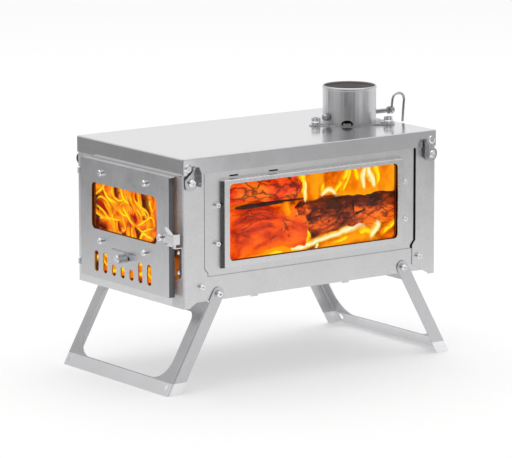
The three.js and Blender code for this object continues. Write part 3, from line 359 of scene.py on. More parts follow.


# ---- Side window ----
# A splayed titanium frame stands out from the wall with a pane of heat-proof glass in it, held from inside
# by a retainer and four socket screws. Its front wall has painted shade and its top wall a painted highlight.
dress(
    titanium("satin_titanium_window_frame", "DEDEDF", 0.28, dents=0.04, patches=[
        # Painted shade on the frame's front wall, and a painted highlight along its top wall.
        ((98.5, 49, -124), (104.5, 52.35, -25), "6C6C6C"),
        ((98.5, 49, -28.2), (104.9, 296, -25), "FFFFFF"),
    ]),
    "window_frame", edge=0.3,
)


def stove_glass():
    """Clear ceramic glass, so thin and clean that it hardly bends or dims what is behind it."""
    material, tree = new_material("ceramic_stove_glass")
    surface(tree, add_node(
        tree,
        "ShaderNodeBsdfPrincipled",
        {"Base Color": grey(1), "Roughness": 0.02, "IOR": 1.08, "Transmission Weight": 1.0},
    ))
    return material


STOVE_GLASS = stove_glass()
# The retainers' orange-brown is heat tint together with painted firelight, the glow the fire would cast on
# them.
RETAINER_TINT_AND_FIRELIGHT = titanium("titanium_retainer_heat_tint_and_painted_firelight", HEAT_TINT_AND_FIRELIGHT, 0.4)


def stainless(name, hexcode, roughness, tool_mark=1.4, depth=0.5):
    """Turned stainless steel, bright, with tool marks drawn coarse enough to glint at this size."""
    material, tree = new_material(name)
    where = add_node(tree, "ShaderNodeTexCoord").outputs["Object"]
    marks = add_node(
        tree, "ShaderNodeTexNoise", {"Vector": where, "Scale": 1000 / tool_mark, "Detail": 2.0}
    ).outputs["Fac"]
    rough = add_node(
        tree, "ShaderNodeMapRange", {"Value": marks, "To Min": roughness - 0.06, "To Max": roughness + 0.06}
    ).outputs["Result"]
    normal = add_node(
        tree, "ShaderNodeBump", {"Height": marks, "Strength": depth, "Distance": 0.0003}
    ).outputs["Normal"]
    surface(tree, add_node(
        tree,
        "ShaderNodeBsdfPrincipled",
        {"Base Color": linear(hexcode), "Metallic": 1.0, "Roughness": rough, "Normal": normal},
    ))
    return material


SCREW_STEEL = stainless("turned_stainless_steel", "F4F4F6", 0.17, 1.4, 0.7)

dress(STOVE_GLASS, "window_glass", edge=0)
dress(RETAINER_TINT_AND_FIRELIGHT, "window_retainer")
dress(SCREW_STEEL, *[f"window_screw_{i}" for i in range(1, 5)])


# ---- Door ----
# A shallow titanium pan with a small window over seven vents. It hangs on two pins at its left edge. Its
# right flange has painted shade and its top edge a painted highlight.
dress(
    titanium("satin_titanium_door", "CECED0", 0.32, brush=(1.2, 1.2, 14), tint=0.12, dents=0.06, patches=[
        # Painted shade on the right flange, and a painted highlight along the top edge.
        ((90.2, -10.6, -149.3), (91.2, 0.9, -19.8), "66666A"),
        ((-87, -9.9, -20.3), (91, 0.9, -19.2), "F6F6F6"),
    ]),
    "door", edge=0.3,
)
dress(STOVE_GLASS, "door_glass", edge=0)
dress(RETAINER_TINT_AND_FIRELIGHT, "glass_retainer")
dress(SCREW_STEEL, "hinge_pin_upper", "hinge_pin_lower", *[f"door_screw_{i}" for i in range(1, 5)])


# ---- Vent slide ----
# A punched strip behind the vents, moved by a knurled stainless knob through a slit in the door.
dress(titanium("satin_titanium_slide", "CECED0", 0.34), "vent_slider")
dress(stainless("knurled_stainless_knob", "DADADC", 0.26, 1.1, 0.7), "vent_knob", "vent_knob_washer")


# ---- Latch ----
# A bent titanium lever turns on a screw and drops into a catch that two rivets hold on the front panel.
BENT_TITANIUM = titanium("bright_titanium_latch", "E2E2E4", 0.24, dents=0.0)
dress(BENT_TITANIUM, "latch_lever", "latch_keeper")
dress(SCREW_STEEL, "latch_screw", "keeper_rivet_1", "keeper_rivet_2")


# ---- Lid clasps and the screws through the side walls ----
# Four bent titanium clips, each on one screw, turn down over the lid's edge. Four more screws hold the end
# panels, and the legs turn on the last four.
CORNERS = ["front_right", "front_left", "rear_right", "rear_left"]
dress(titanium("bent_titanium_clasp", "D0D0D2", 0.26, dents=0.0), *[f"clasp_{corner}" for corner in CORNERS])
dress(SCREW_STEEL, *[f"{kind}_screw_{corner}" for kind in ("clasp", "panel", "leg") for corner in CORNERS])


# ---- Legs ----
# Two folding frames cut from thicker titanium sheet, with flanges bent along their sides for stiffness.
# Their crossbars are drawn paler, as the white paper lights them from below.
dress(
    titanium("brushed_titanium_leg", "D2D2D4", 0.36, brush=(1.2, 1.2, 20), tint=0.1, dents=0.05, patches=[
        ((-102, -25, -254), (102, 366, -240.6), "F8F8FA"),
    ]),
    "front_leg", "rear_leg", edge=0.25,
)


# ---- Flue collar ----
# A rolled tube with a beaded rim on a round plate, held to the lid by three serrated nuts. Its bore has a
# duller, rougher face than the outside, which has a satin shine.
COLLAR_MIDDLE = (0, 298.5, 0)  # on the lid's top face
BORE_RADIUS = 29.2
SOOT_ENDS = (8, 36)  # heights over which the soot in the bore thins out


def rolled_tube():
    """Satin outside, and inside a dull grey that darkens to soot at the foot."""
    material = titanium("satin_titanium_flue", "D4D4D6", 0.34, brush=(1.2, 1.2, 25), depth=0.02, dents=0.03)
    tree = material.node_tree
    shader = next(node for node in tree.nodes if node.type == "BSDF_PRINCIPLED")
    where = add_node(tree, "ShaderNodeTexCoord").outputs["Object"]
    from_middle = add_node(
        tree, "ShaderNodeVectorMath", {0: where, 1: place(*COLLAR_MIDDLE)}, operation="SUBTRACT"
    ).outputs["Vector"]
    flat = add_node(
        tree, "ShaderNodeVectorMath", {0: from_middle, 1: (1, 1, 0)}, operation="MULTIPLY"
    ).outputs["Vector"]
    radius = add_node(tree, "ShaderNodeVectorMath", {0: flat}, operation="LENGTH").outputs["Value"]
    bore = add_node(
        tree, "ShaderNodeMath", {0: radius, 1: BORE_RADIUS / 1000}, operation="LESS_THAN"
    ).outputs[0]
    height = add_node(tree, "ShaderNodeSeparateXYZ", {"Vector": from_middle}).outputs["Z"]
    upward = add_node(
        tree, "ShaderNodeMapRange",
        {"Value": height, "From Min": SOOT_ENDS[0] / 1000, "From Max": SOOT_ENDS[1] / 1000},
    ).outputs["Result"]
    wall = add_node(
        tree, "ShaderNodeValToRGB", {"Fac": upward}, [(0.0, SOOT), (0.7, "8A8A8A"), (1.0, "A4A4A4")]
    ).outputs["Color"]
    for socket, value in (("Base Color", wall), ("Metallic", grey(0.15)), ("Roughness", grey(0.7))):
        outside = shader.inputs[socket].links[0].from_socket
        mixed = add_node(tree, "ShaderNodeMix", {"Factor": bore, "A": outside, "B": value}, data_type="RGBA")
        tree.links.new(mixed.outputs["Result"], shader.inputs[socket])
    return material


dress(rolled_tube(), "flue_collar")
dress(titanium("satin_titanium_flue_plate", "D0D0D2", 0.26, dents=0.0), "flue_base_plate")
dress(SCREW_STEEL, *[f"collar_nut_{i}" for i in range(1, 4)])


# ---- Damper ----
# A disc on an axle through the collar, turned by a bent wire handle against a coil spring. The disc hangs
# in the smoke and is dull with soot.
dress(
    stainless("drawn_stainless_damper", "B0B0B2", 0.2, 2.0, 0.25),
    *[f"damper_{part}" for part in ("axle", "nut", "washer", "spring", "handle")], edge=0.1,
)
dress(stainless("sooted_stainless_disc", "3A3430", 0.6, 3.0, 0.2), "damper_disc")


# ---- Fire: burning logs on a bed of coals ----
# Logs and flames are placed by where the camera sees them in a window, across and down from 0 to 1, and
# by how many millimetres they burn behind its face. None reaches the walls of the firebox.
FIRE_ROOM = ((-93, 4, -153), (93, 338, -3))  # two opposite corners
SIDE_PANE = (58.8, -31.9, 227.4, 83.5)  # y of its front edge, z of its top edge, length, height
SIDE_FACE = 104.7  # x of the face that the side pane is seen in
DOOR_PANE = (-56.6, -44, 125.4, 51)  # x of its left edge, z of its top edge, width, height
DOOR_FACE = -11  # y of the door's face


def in_firebox(point):
    low, high = place(*FIRE_ROOM[0]), place(*FIRE_ROOM[1])
    return Vector([min(max(p, a), b) for p, a, b in zip(point, low, high)])


def seen_in_side(across, down, depth):
    across = min(max(across, -0.08), 1.04)  # beyond these it would show through the seams of the wall
    front, top, length, height = SIDE_PANE
    reach = depth / -AHEAD.x
    y = front + length * across + AHEAD.y * reach
    return in_firebox(place(SIDE_FACE - depth, y, top - height * down + AHEAD.z * reach))


def seen_in_door(across, down, depth):
    left, top, width, height = DOOR_PANE
    reach = depth / AHEAD.y
    x = left + width * across + AHEAD.x * reach
    return in_firebox(place(x, DOOR_FACE + depth, top - height * down + AHEAD.z * reach))


WANDER = 9  # how far a split strays, and over what length
UNSPLIT = 24  # size of the stretches that have no splits


def burning_wood(name, stops, patch, split, gap=0.06, some=0.5, shade=0.0):
    """Wood that glows through its char. Colours run from cold to hot over patches of the given size; dark
    splits run between blocks of the given size where a coarser noise is above `some`; upper faces are
    colder by `shade`."""
    material, tree = new_material(name)
    material.cycles.emission_sampling = "NONE"
    where = add_node(tree, "ShaderNodeTexCoord").outputs["Object"]
    grain = add_node(
        tree, "ShaderNodeVectorMath", {0: where, 1: (1, 0.5, 1)}, operation="MULTIPLY"
    ).outputs["Vector"]
    heat = add_node(
        tree,
        "ShaderNodeTexNoise",
        {"Vector": grain, "Scale": 1000 / patch, "Detail": 8.0, "Roughness": 0.66, "Distortion": 0.7},
    ).outputs["Fac"]
    heat = add_node(
        tree, "ShaderNodeMapRange", {"Value": heat, "From Min": 0.34, "From Max": 0.66}
    ).outputs["Result"]
    if shade:
        up = add_node(tree, "ShaderNodeNewGeometry").outputs["Normal"]
        up = add_node(tree, "ShaderNodeSeparateXYZ", {"Vector": up}).outputs["Z"]
        heat = add_node(
            tree, "ShaderNodeMath", {0: up, 1: -shade, 2: heat}, operation="MULTIPLY_ADD"
        ).outputs[0]
    glow = add_node(tree, "ShaderNodeValToRGB", {"Fac": heat}, stops).outputs["Color"]
    warp = add_node(
        tree, "ShaderNodeTexNoise", {"Vector": where, "Scale": 1000 / WANDER, "Detail": 4.0}
    ).outputs["Color"]
    warp = add_node(
        tree, "ShaderNodeVectorMath", {0: warp, "Scale": WANDER / 1000}, operation="SCALE"
    ).outputs["Vector"]
    bent = add_node(tree, "ShaderNodeVectorMath", {0: grain, 1: warp}, operation="ADD").outputs["Vector"]
    splits = add_node(
        tree, "ShaderNodeTexVoronoi", {"Vector": bent, "Scale": 1000 / split}, feature="DISTANCE_TO_EDGE"
    ).outputs["Distance"]
    splits = add_node(tree, "ShaderNodeMapRange", {"Value": splits, "From Max": gap}).outputs["Result"]
    whole = add_node(
        tree, "ShaderNodeTexNoise", {"Vector": bent, "Scale": 1000 / UNSPLIT, "Detail": 3.0}
    ).outputs["Fac"]
    whole = add_node(
        tree, "ShaderNodeMapRange", {"Value": whole, "From Min": some, "From Max": some - 0.1}
    ).outputs["Result"]
    lit = add_node(tree, "ShaderNodeMath", {0: splits, 1: whole}, operation="MAXIMUM").outputs[0]
    lit = add_node(tree, "ShaderNodeMapRange", {"Value": lit, "To Min": 0.1}).outputs["Result"]
    colour = add_node(
        tree, "ShaderNodeVectorMath", {0: glow, "Scale": lit}, operation="SCALE"
    ).outputs["Vector"]
    surface(tree, add_node(tree, "ShaderNodeBsdfPrincipled", {
        "Base Color": linear(SOOT),
        "Roughness": 0.9,
        "Emission Color": colour,
        "Emission Strength": 1.0,
    }))
    return material


def add_piece(name, points, faces, material):
    mesh = bpy.data.meshes.new(name)
    mesh.from_pydata(points, [], faces)
    mesh.materials.append(material)
    mesh.shade_smooth()
    piece = bpy.data.objects.new(name, mesh)
    bpy.context.collection.objects.link(piece)
    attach(piece, "root")
    return piece


def add_log(name, start, end, radius, material, seed, rough=0.2, rings=60, sides=40):
    """A burnt round log: a closed tube whose radius wanders and whose ends are ragged."""
    axis = end - start
    side = axis.orthogonal().normalized()
    other = axis.cross(side).normalized()
    points = []
    for i in range(rings + 1):
        share = i / rings
        taper = min(1.0, 7 * min(share, 1 - share) + 0.3) ** 0.7
        for k in range(sides):
            angle = math.tau * k / sides
            out = side * math.cos(angle) + other * math.sin(angle)
            at = start + axis * share + out * radius
            bark = noise.noise(at * 45 + Vector((seed, 0, 0)))
            bark += 0.5 * noise.noise(at * 130 + Vector((0, seed, 0)))
            points.append(start + axis * share + out * (radius * taper * (1 + rough * bark)))
    faces = []
    for i in range(rings):
        for k in range(sides):
            a, b = i * sides + k, i * sides + (k + 1) % sides
            faces.append((a, b, b + sides, a + sides))
    faces.append(tuple(reversed(range(sides))))
    faces.append(tuple(rings * sides + k for k in range(sides)))
    add_piece(name, points, faces, material)


def add_ember_sheet(name, corner, along, up, rough, material, seed, columns=70, rows=30):
    """A rough glowing surface: a grid from one corner, pushed in and out by noise along its own normal."""
    normal = along.cross(up).normalized()
    points = []
    for j in range(rows + 1):
        for i in range(columns + 1):
            at = corner + along * (i / columns) + up * (j / rows)
            lift = noise.noise(at * 40 + Vector((seed, 0, 0))) + 0.4 * noise.noise(at * 120)
            points.append(at + normal * (rough * lift))
    step = columns + 1
    faces = [
        (j * step + i, j * step + i + 1, (j + 1) * step + i + 1, (j + 1) * step + i)
        for j in range(rows)
        for i in range(columns)
    ]
    add_piece(name, points, faces, material)


# Red ember is broken by many dark splits and orange ember by few. The birch log is darkest on top and glows
# below, its stub glows in specks, and char and the painted shade in the seams are nearly black.
ember_red = burning_wood(
    "glowing_split_ember",
    [(0.0, "5A0C00"), (0.25, "B82000"), (0.5, "F03C00"), (0.8, "FF6A04"), (1.0, "FF9018")],
    26, 13, 0.09, 0.42,
)
ember_orange = burning_wood(
    "glowing_even_ember",
    [(0.0, "8E1600"), (0.25, "D83400"), (0.5, "F65400"), (0.75, "FF6E02"), (1.0, "FFA014")],
    34, 17, 0.05, 0.6,
)
charred_log = burning_wood(
    "charred_birch_log",
    [(0.0, "200804"), (0.28, "581804"), (0.5, "9C3204"), (0.68, "E65802"), (1.0, "FF7E0A")],
    22, 11, 0.07, 0.5, 0.24,
)
dark_stub = burning_wood(
    "charred_birch_stub", [(0.0, "2A0804"), (0.4, "701602"), (0.7, "C43A00"), (1.0, "FF7006")],
    12, 6, 0.1, 0.4,
)
# Painted shade: a near-black sheet for the seams of the side walls.
seam_shade_black = burning_wood("seam_shade_black", [(0.0, "050403"), (1.0, "0A0806")], 8, 5)
char = burning_wood("birch_char", [(0.3, "0C0402"), (0.9, "38100A")], 8, 5)
coals = burning_wood(
    "charcoal_bed", [(0.2, "180804"), (0.45, "7A1602"), (0.65, "F04800"), (0.95, "FFA018")], 20, 9, 0.12, 0.3,
)

# Fire further back is a smooth glow with soft hollows, brighter behind the door than behind the logs.
glow_behind_logs = burning_wood(
    "glow_behind_logs", [(0.0, "3A0C02"), (0.3, "A63200"), (0.55, "EC6C00"), (0.9, "FFA410")], 46, 60, 0.001,
)
glow_behind_door = burning_wood(
    "glow_behind_door",
    [(0.0, "701202"), (0.2, "C03200"), (0.4, "F06000"), (0.7, "FF8E04"), (1.0, "FFBE1E")],
    22, 60, 0.001,
)

ACROSS, DEEP, TALL = Vector((0.166, 0, 0)), Vector((0, 0.306, 0)), Vector((0, 0, 0.124))
add_ember_sheet("fire_behind_door", place(-80, 15, -151), ACROSS, TALL, 0.0015, glow_behind_door, 3)
add_ember_sheet("fire_behind_logs", place(44, 30, -150), DEEP, TALL, 0.003, glow_behind_logs, 5)
add_ember_sheet("coal_bed", place(-83, 20, -148), ACROSS, DEEP, 0.004, coals, 7)

# Black strips of painted shade lie inside the seams of both side walls, so that the fire doesn't show through
# them.
SEAM_X = 97.3
STRIP_ACROSS, STRIP_UP = Vector((0, 0.0135, 0)), Vector((0, 0, 0.148))
for hand, side in (("left", -1), ("right", 1)):
    for end, y in (("front", 24), ("rear", 304)):
        add_ember_sheet(
            f"seam_shade_strip_{end}_{hand}", place(SEAM_X * side, y, -152), STRIP_ACROSS, STRIP_UP,
            0.0002, seam_shade_black, 9, 6, 40,
        )

LOGS = [
    # name, ends as (across, down, depth), radius in metres, wood, roughness, rings, sides
    ("log_upper_left", (-0.06, 0.13, 30), (0.41, 0.12, 30), 0.0125, ember_red, 0.3, 60, 40),
    ("log_upper_left_char", (0.03, 0.315, 24), (0.43, 0.3, 26), 0.0019, char, 0.6, 40, 12),
    ("log_lower_left", (-0.1, 0.66, 40), (0.42, 0.66, 40), 0.027, ember_orange, 0.2, 60, 50),
    ("log_main", (0.37, 0.58, 32), (1.12, 0.53, 34), 0.0195, charred_log, 0.24, 90, 50),
    ("log_main_end", (0.37, 0.58, 24), (0.45, 0.4, 24), 0.008, dark_stub, 0.45, 30, 24),
    ("log_stub", (0.4, 0.66, 20), (0.285, 0.8, 20), 0.0058, dark_stub, 0.45, 30, 24),
]
for seed, (name, start, end, radius, wood, rough, rings, sides) in enumerate(LOGS, 11):
    add_log(name, seen_in_side(*start), seen_in_side(*end), radius, wood, seed, rough, rings, sides)

# Splits in the birch log's bark: routes of points (across, down), just in front of it.
SPLIT_DEPTH, SPLIT_RADIUS = 15.5, 0.0009
SPLITS = [
    [(0.38, 0.63), (0.46, 0.585), (0.52, 0.565)],
    [(0.51, 0.57), (0.6, 0.545), (0.67, 0.52), (0.7, 0.47)],
    [(0.6, 0.55), (0.59, 0.6), (0.575, 0.66)],
    [(0.727, 0.42), (0.73, 0.56), (0.722, 0.7)],
    [(0.73, 0.6), (0.8, 0.56), (0.9, 0.57)],
]
for number, route in enumerate(SPLITS, 1):
    for (u0, v0), (u1, v1) in zip(route, route[1:]):
        name = f"log_split_{number}_{round(u0 * 1000)}"
        start, end = seen_in_side(u0, v0, SPLIT_DEPTH), seen_in_side(u1, v1, SPLIT_DEPTH)
        add_log(name, start, end, SPLIT_RADIUS, char, number, 0.5, 10, 8)


# ---- Fire: flames ----
# Each flame is a thin curved ribbon of burning gas. Its colour runs from a hot line in the middle to a deep
# edge, where it thins to nothing, and it fades at its root and tip.
LICK = 10  # size of the waves in a flame's edge
SWAY = 1.2  # how far a ribbon sways in depth


def flame(name, core, middle, edge, soft=0.35):
    """Burning gas, which glows and has no shine: colours for its core, its middle and its edge."""
    material, tree = new_material(name)
    material.cycles.emission_sampling = "NONE"
    coordinates = add_node(tree, "ShaderNodeTexCoord").outputs
    along, across, _ = add_node(tree, "ShaderNodeSeparateXYZ", {"Vector": coordinates["UV"]}).outputs
    lick = add_node(
        tree, "ShaderNodeTexNoise", {"Vector": coordinates["Object"], "Scale": 1000 / LICK, "Detail": 2.0}
    ).outputs["Fac"]
    bent = add_node(tree, "ShaderNodeMath", {0: lick, 1: 0.5, 2: across}, operation="MULTIPLY_ADD").outputs[0]
    left = add_node(
        tree, "ShaderNodeMapRange", {"Value": bent, "From Min": 0.25, "From Max": 0.75}
    ).outputs["Result"]
    right = add_node(
        tree, "ShaderNodeMapRange", {"Value": bent, "From Min": 1.25, "From Max": 0.75}
    ).outputs["Result"]
    share = add_node(tree, "ShaderNodeMath", {0: left, 1: right}, operation="MINIMUM").outputs[0]
    colour = add_node(tree, "ShaderNodeValToRGB", {"Fac": share}, [(0.1, edge), (0.5, middle), (0.9, core)])
    body = add_node(
        tree, "ShaderNodeValToRGB", {"Fac": share}, [(0.0, 0.0), (soft, 0.8), (0.85, 1.0)]
    ).outputs["Color"]
    ends = add_node(
        tree, "ShaderNodeValToRGB", {"Fac": along}, [(0.0, 0.0), (0.14, 1.0), (0.75, 1.0), (1.0, 0.0)]
    ).outputs["Color"]
    alpha = add_node(tree, "ShaderNodeMath", {0: body, 1: ends}, operation="MULTIPLY").outputs[0]
    surface(tree, add_node(tree, "ShaderNodeBsdfPrincipled", {
        "Base Color": grey(0),
        "Roughness": 1.0,
        "Specular IOR Level": 0.0,
        "Emission Color": colour.outputs["Color"],
        "Emission Strength": 1.0,
        "Alpha": alpha,
    }))
    return material


def smooth_path(points, count):
    """Points at even steps on a Catmull-Rom curve through the given tuples."""
    padded = [points[0], *points, points[-1]]
    path = []
    for i in range(count + 1):
        at = min(i / count * (len(points) - 1), len(points) - 1 - 1e-6)
        k, t = int(at), at % 1
        path.append([
            (2 * b + (c - a) * t + (2 * a - 5 * b + 4 * c - d) * t**2 + (3 * b - a - 3 * c + d) * t**3) / 2
            for a, b, c, d in zip(*padded[k : k + 4])
        ])
    return path


def add_flames(name, seen, out, material, ribbons):
    """Ribbons of (depth, points) that face `out`. A point is (across, down, half width), root to tip."""
    points, faces, uvs = [], [], []
    steps, ways = 26, (-1, -0.5, 0, 0.5, 1)
    for number, (depth, route) in enumerate(ribbons):
        path = smooth_path(route, steps)
        centres = [seen(u, v, depth + math.sin(i * 0.35 + number) * SWAY) for i, (u, v, _) in enumerate(path)]
        first = len(points)
        for i, (_, _, half) in enumerate(path):
            run = centres[min(i + 1, steps)] - centres[max(i - 1, 0)]
            side = run.cross(out).normalized()
            for way in ways:
                bulge = out * (0.0004 * half * (1 - way * way))
                points.append(in_firebox(centres[i] + side * (way * half / 1000) + bulge))
                uvs.append((i / steps, (way + 1) / 2))
        for i in range(steps):
            for k in range(len(ways) - 1):
                a = first + i * len(ways) + k
                faces.append((a, a + 1, a + 1 + len(ways), a + len(ways)))
    flames = add_piece(name, points, faces, material)
    layer = flames.data.uv_layers.new(name="along_and_across")
    for loop in flames.data.loops:
        layer.data[loop.index].uv = uvs[loop.vertex_index]


TO_SIDE, TO_FRONT = Vector((1, 0, 0)), Vector((0, -1, 0))
white_flame = flame("white_hot_flame", "FFF8C8", "FFD84A", "F09010", 0.5)
yellow_flame = flame("yellow_flame", "FFE61E", "FFB400", "F07000", 0.5)
orange_flame = flame("orange_flame", "FFA010", "FA7A02", "D84600", 0.6)
red_flame = flame("red_flame", "A01000", "B01A00", "C83200", 0.5)
maroon_gap = flame("dark_gap_between_flames", "500802", "5A0A02", "8A1A02", 0.5)

# Behind the door window: dark hollows first, then broad orange tongues, then the bright winding edges.
add_flames("door_fire_hollows", seen_in_door, TO_FRONT, maroon_gap, [
    (24, [(0.78, -0.12, 4), (0.83, 0.1, 10), (0.86, 0.3, 9), (0.88, 0.48, 2)]),
    (24, [(-0.08, 0.92, 6), (0.06, 0.86, 8), (0.2, 0.9, 7), (0.26, 0.98, 2)]),
    (24, [(0.66, 0.76, 2), (0.72, 0.86, 6), (0.72, 1.02, 5)]),
    (24, [(0.36, -0.06, 3), (0.385, 0.1, 6), (0.41, 0.26, 1)]),
    (24, [(0.98, 0.84, 3), (1.0, 0.95, 9), (0.92, 1.05, 5)]),
    (24, [(0.48, 0.92, 2), (0.5, 1.0, 7), (0.49, 1.1, 5)]),
])
add_flames("door_fire_reds", seen_in_door, TO_FRONT, red_flame, [
    (23, [(0.07, 0.36, 2), (0.14, 0.4, 8), (0.22, 0.5, 8), (0.27, 0.64, 2)]),
    (23, [(0.36, 0.32, 1), (0.38, 0.46, 5), (0.42, 0.6, 1)]),
    (23, [(0.66, 0.42, 1), (0.68, 0.56, 6), (0.67, 0.7, 1)]),
    (23, [(0.4, 0.7, 1), (0.44, 0.82, 6), (0.46, 0.96, 1)]),
    (23, [(0.68, -0.02, 2), (0.69, 0.1, 4), (0.72, 0.2, 1)]),
    (23, [(0.56, 0.1, 1), (0.59, 0.22, 4), (0.64, 0.4, 1)]),
    (23, [(0.76, 0.46, 1), (0.8, 0.52, 4), (0.84, 0.58, 1)]),
])
add_flames("door_fire_tongues", seen_in_door, TO_FRONT, orange_flame, [
    (22, [(-0.08, 0.3, 5), (0.02, 0.14, 9), (0.12, 0.06, 9), (0.24, 0.0, 8)]),
    (22, [(0.28, 0.3, 6), (0.4, 0.4, 9), (0.5, 0.5, 8), (0.58, 0.66, 5)]),
    (22, [(0.12, 0.3, 2), (0.24, 0.42, 6), (0.31, 0.6, 6), (0.36, 0.9, 8), (0.38, 1.08, 6)]),
    (22, [(0.6, 1.1, 8), (0.58, 0.9, 8), (0.58, 0.74, 5)]),
    (22, [(0.86, 0.98, 6), (0.88, 0.78, 8), (0.9, 0.6, 10), (0.9, 0.46, 4)]),
    (22, [(0.97, 0.66, 4), (0.95, 0.4, 6), (0.92, 0.2, 5), (0.9, 0.06, 2)]),
    (22, [(0.56, 0.04, 6), (0.62, 0.2, 6), (0.7, 0.4, 6), (0.74, 0.62, 4)]),
    (22, [(0.0, 0.5, 3), (0.1, 0.62, 5), (0.22, 0.7, 5), (0.36, 0.66, 4), (0.5, 0.6, 3)]),
    (22, [(1.16, 0.9, 6), (1.12, 0.5, 12), (1.1, 0.1, 10), (1.16, -0.2, 5)]),
    (22, [(1.3, 1.0, 6), (1.26, 0.6, 10), (1.3, 0.2, 10), (1.26, -0.1, 5)]),
])
add_flames("door_fire_edges", seen_in_door, TO_FRONT, yellow_flame, [
    (20, [(0.0, 0.3, 1.6), (0.1, 0.18, 2.4), (0.18, 0.05, 2.4), (0.2, -0.1, 1.5)]),
    (19, [(0.16, 0.0, 2), (0.22, 0.17, 3.6), (0.29, 0.28, 4.6), (0.42, 0.34, 3)]),
    (20, [(0.06, 0.36, 1.2), (0.13, 0.27, 1.8), (0.22, 0.31, 2), (0.27, 0.42, 2.2), (0.3, 0.54, 2.4),
          (0.33, 0.68, 2.4), (0.36, 0.83, 2.6), (0.4, 1.04, 3)]),
    (20, [(0.04, 0.16, 1.4), (0.02, 0.34, 2.4), (0.02, 0.5, 2.6), (0.04, 0.62, 2), (0.14, 0.69, 1.6),
          (0.26, 0.71, 1.4)]),
    (19, [(0.05, 0.46, 1.2), (0.14, 0.53, 2), (0.21, 0.62, 2), (0.28, 0.73, 1.8), (0.31, 0.86, 1.4)]),
    (19, [(0.12, 0.75, 1.6), (0.19, 0.7, 2.6), (0.29, 0.69, 2), (0.4, 0.69, 1.6), (0.5, 0.63, 1.2)]),
    (20, [(0.33, -0.08, 1.8), (0.315, 0.1, 2.2), (0.36, 0.22, 2), (0.43, 0.26, 2), (0.5, 0.22, 1.8),
          (0.57, 0.27, 1.4)]),
    (19, [(0.455, -0.06, 2.6), (0.48, 0.12, 3.8), (0.53, 0.23, 3.4), (0.6, 0.29, 2)]),
    (20, [(0.5, 0.25, 1.4), (0.43, 0.4, 2.2), (0.46, 0.52, 2.4), (0.54, 0.54, 2.2), (0.55, 0.42, 1.8),
          (0.5, 0.34, 1.2)]),
    (19, [(0.48, 0.36, 2), (0.53, 0.47, 3.4), (0.6, 0.62, 3.6), (0.68, 0.73, 2.4)]),
    (20, [(0.47, 0.55, 1.2), (0.5, 0.7, 1.8), (0.52, 0.83, 1.8), (0.49, 0.88, 1.6), (0.44, 0.8, 1)]),
    (20, [(0.58, 0.04, 1.4), (0.62, 0.2, 1.8), (0.69, 0.34, 1.8), (0.76, 0.47, 1.8), (0.78, 0.58, 1.4)]),
    (19, [(0.63, 0.08, 1.4), (0.7, 0.23, 2), (0.81, 0.31, 2), (0.87, 0.39, 2), (0.86, 0.48, 1.6),
          (0.8, 0.42, 1)]),
    (20, [(0.73, 0.0, 1.4), (0.725, 0.14, 2), (0.77, 0.27, 1.8), (0.87, 0.37, 1.2)]),
    (20, [(0.68, 0.73, 1.4), (0.77, 0.63, 2), (0.85, 0.53, 2), (0.915, 0.45, 2.2), (0.96, 0.53, 2.2),
          (0.97, 0.68, 2)]),
    (19, [(0.69, 0.72, 1.4), (0.78, 0.8, 2), (0.86, 0.73, 2), (0.97, 0.67, 1.6)]),
    (19, [(0.74, 1.02, 2.4), (0.8, 0.84, 4), (0.88, 0.88, 3.4), (0.96, 0.92, 1.6)]),
    (20, [(0.63, 0.74, 1.6), (0.62, 0.88, 2.4), (0.65, 1.04, 2.4)]),
    (20, [(0.58, 0.76, 1.2), (0.575, 0.9, 1.8), (0.58, 1.06, 1.8)]),
    (19, [(0.95, 0.34, 1.4), (0.915, 0.22, 3), (0.9, 0.13, 4), (0.94, 0.09, 2)]),
    (20, [(1.08, 1.1, 2), (1.02, 0.7, 3), (1.12, 0.3, 3), (1.06, -0.1, 2)]),
    (20, [(1.28, 1.1, 2), (1.34, 0.6, 3), (1.22, 0.2, 3), (1.3, -0.2, 2)]),
    (20, [(-0.14, 1.58, 2), (0.0, 1.72, 4), (0.13, 1.58, 4), (0.3, 1.82, 3), (0.46, 1.7, 4), (0.62, 1.6, 3),
          (0.74, 1.74, 4), (0.92, 1.56, 4), (1.1, 1.7, 2)]),
    (20, [(-0.1, 1.5, 2), (0.1, 1.44, 3), (0.3, 1.62, 2), (0.5, 1.74, 3), (0.74, 1.5, 4), (0.96, 1.8, 3),
          (1.1, 1.6, 2)]),
])

# Behind the side window: flames over the logs, a pale sheet of flame under them, and a glow at both ends.
add_flames("side_fire_tongues", seen_in_side, TO_SIDE, orange_flame, [
    (26, [(0.35, 0.68, 7.2), (0.325, 0.52, 13), (0.32, 0.38, 11.6), (0.335, 0.26, 4.3)]),
    (34, [(0.5, 0.36, 8.7), (0.49, 0.16, 18.8), (0.48, -0.1, 20.3), (0.5, -0.3, 5.8)]),
    (34, [(0.6, 0.3, 8.7), (0.78, 0.3, 17.4), (0.94, 0.3, 17.4), (1.1, 0.28, 11.6)]),
    (33, [(0.74, 0.36, 7.2), (0.76, 0.16, 14.5), (0.73, -0.04, 13), (0.76, -0.24, 4.3)]),
    (33, [(0.9, 0.4, 11.6), (0.93, 0.18, 29), (0.96, -0.04, 29), (0.94, -0.3, 8.7)]),
    (26, [(0.5, 1.0, 8.7), (0.62, 0.94, 13), (0.76, 0.88, 14.5), (0.9, 0.98, 7.2)]),
    (27, [(0.1, 1.04, 11.6), (0.2, 0.94, 20.3), (0.34, 0.92, 17.4), (0.46, 1.0, 8.7)]),
    (26, [(0.89, 0.92, 4.3), (0.93, 0.84, 8.7), (0.97, 0.76, 8.7), (1.02, 0.7, 4.3)]),
    (33, [(0.64, 0.34, 4.3), (0.66, 0.16, 8.7), (0.69, 0.0, 8.7), (0.7, -0.16, 2.9)]),
])
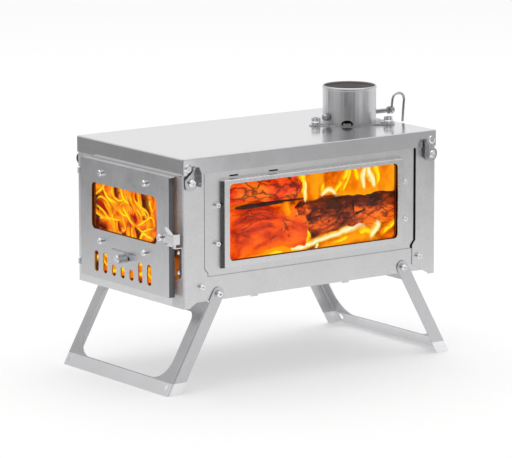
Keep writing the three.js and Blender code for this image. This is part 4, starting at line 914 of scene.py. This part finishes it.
add_flames("side_fire_yellow", seen_in_side, TO_SIDE, yellow_flame, [
    (30, [(0.445, 0.34, 2.9), (0.435, 0.2, 5.8), (0.42, 0.06, 8.7), (0.41, -0.14, 5.8)]),
    (31, [(0.5, 0.32, 4.3), (0.49, 0.16, 8.7), (0.475, 0.0, 10.2), (0.47, -0.18, 4.3)]),
    (30, [(0.545, 0.3, 2.9), (0.54, 0.16, 4.9), (0.52, 0.0, 5.8), (0.51, -0.16, 2.9)]),
    (30, [(0.6, 0.3, 2.9), (0.635, 0.2, 4.9), (0.68, 0.06, 5.8), (0.7, -0.14, 2.9)]),
    (30, [(0.66, 0.28, 2.3), (0.69, 0.14, 4.1), (0.705, 0.0, 4.3), (0.71, -0.14, 2.9)]),
    (30, [(0.79, 0.32, 2.9), (0.765, 0.18, 5.8), (0.74, 0.04, 5.8), (0.73, -0.12, 2.9)]),
    (29, [(0.93, 0.36, 4.3), (0.97, 0.2, 11.6), (0.99, 0.04, 13), (0.98, -0.16, 5.8)]),
    (30, [(0.87, 0.36, 2.9), (0.88, 0.2, 7.2), (0.87, 0.04, 8.7), (0.86, -0.16, 4.3)]),
    (22, [(0.4, 0.9, 5.8), (0.43, 0.8, 11.6), (0.46, 0.7, 8.7), (0.45, 0.62, 2.9)]),
    (22, [(0.2, 1.02, 4.3), (0.28, 0.96, 8.7), (0.36, 0.98, 7.2), (0.44, 1.04, 4.3)]),
    (22, [(0.91, 0.9, 2.9), (0.95, 0.82, 4.9), (0.99, 0.74, 2.9)]),
    (22, [(0.6, 0.94, 2.9), (0.72, 0.88, 5.8), (0.8, 0.84, 7.2), (0.86, 0.94, 4.3)]),
])
add_flames("side_fire_white", seen_in_side, TO_SIDE, white_flame, [
    (20, [(0.33, 0.78, 2.9), (0.36, 0.92, 5.8), (0.45, 0.92, 5.8), (0.52, 0.87, 5.2), (0.64, 0.82, 5.2),
          (0.75, 0.74, 8.7), (0.8, 0.8, 4.3)]),
    (20, [(0.83, 0.95, 2.9), (0.855, 0.84, 7.2), (0.87, 0.78, 8.7), (0.868, 0.7, 2.9)]),
    (28, [(0.53, 0.3, 2.9), (0.57, 0.23, 5.2), (0.6, 0.24, 4.9), (0.63, 0.32, 2.3)]),
    (27, [(0.8, 0.28, 2.3), (0.785, 0.17, 5.8), (0.79, 0.04, 5.8), (0.8, -0.06, 2.9)]),
    (27, [(0.86, 0.28, 2.3), (0.84, 0.16, 6.4), (0.82, 0.04, 5.8), (0.81, -0.06, 2.9)]),
    (28, [(0.44, 0.36, 1.7), (0.436, 0.24, 3.5), (0.44, 0.12, 2.9), (0.43, 0.0, 2)]),
    (20, [(0.49, 1.02, 2.3), (0.51, 0.94, 3.5), (0.51, 0.88, 2.3)]),
])
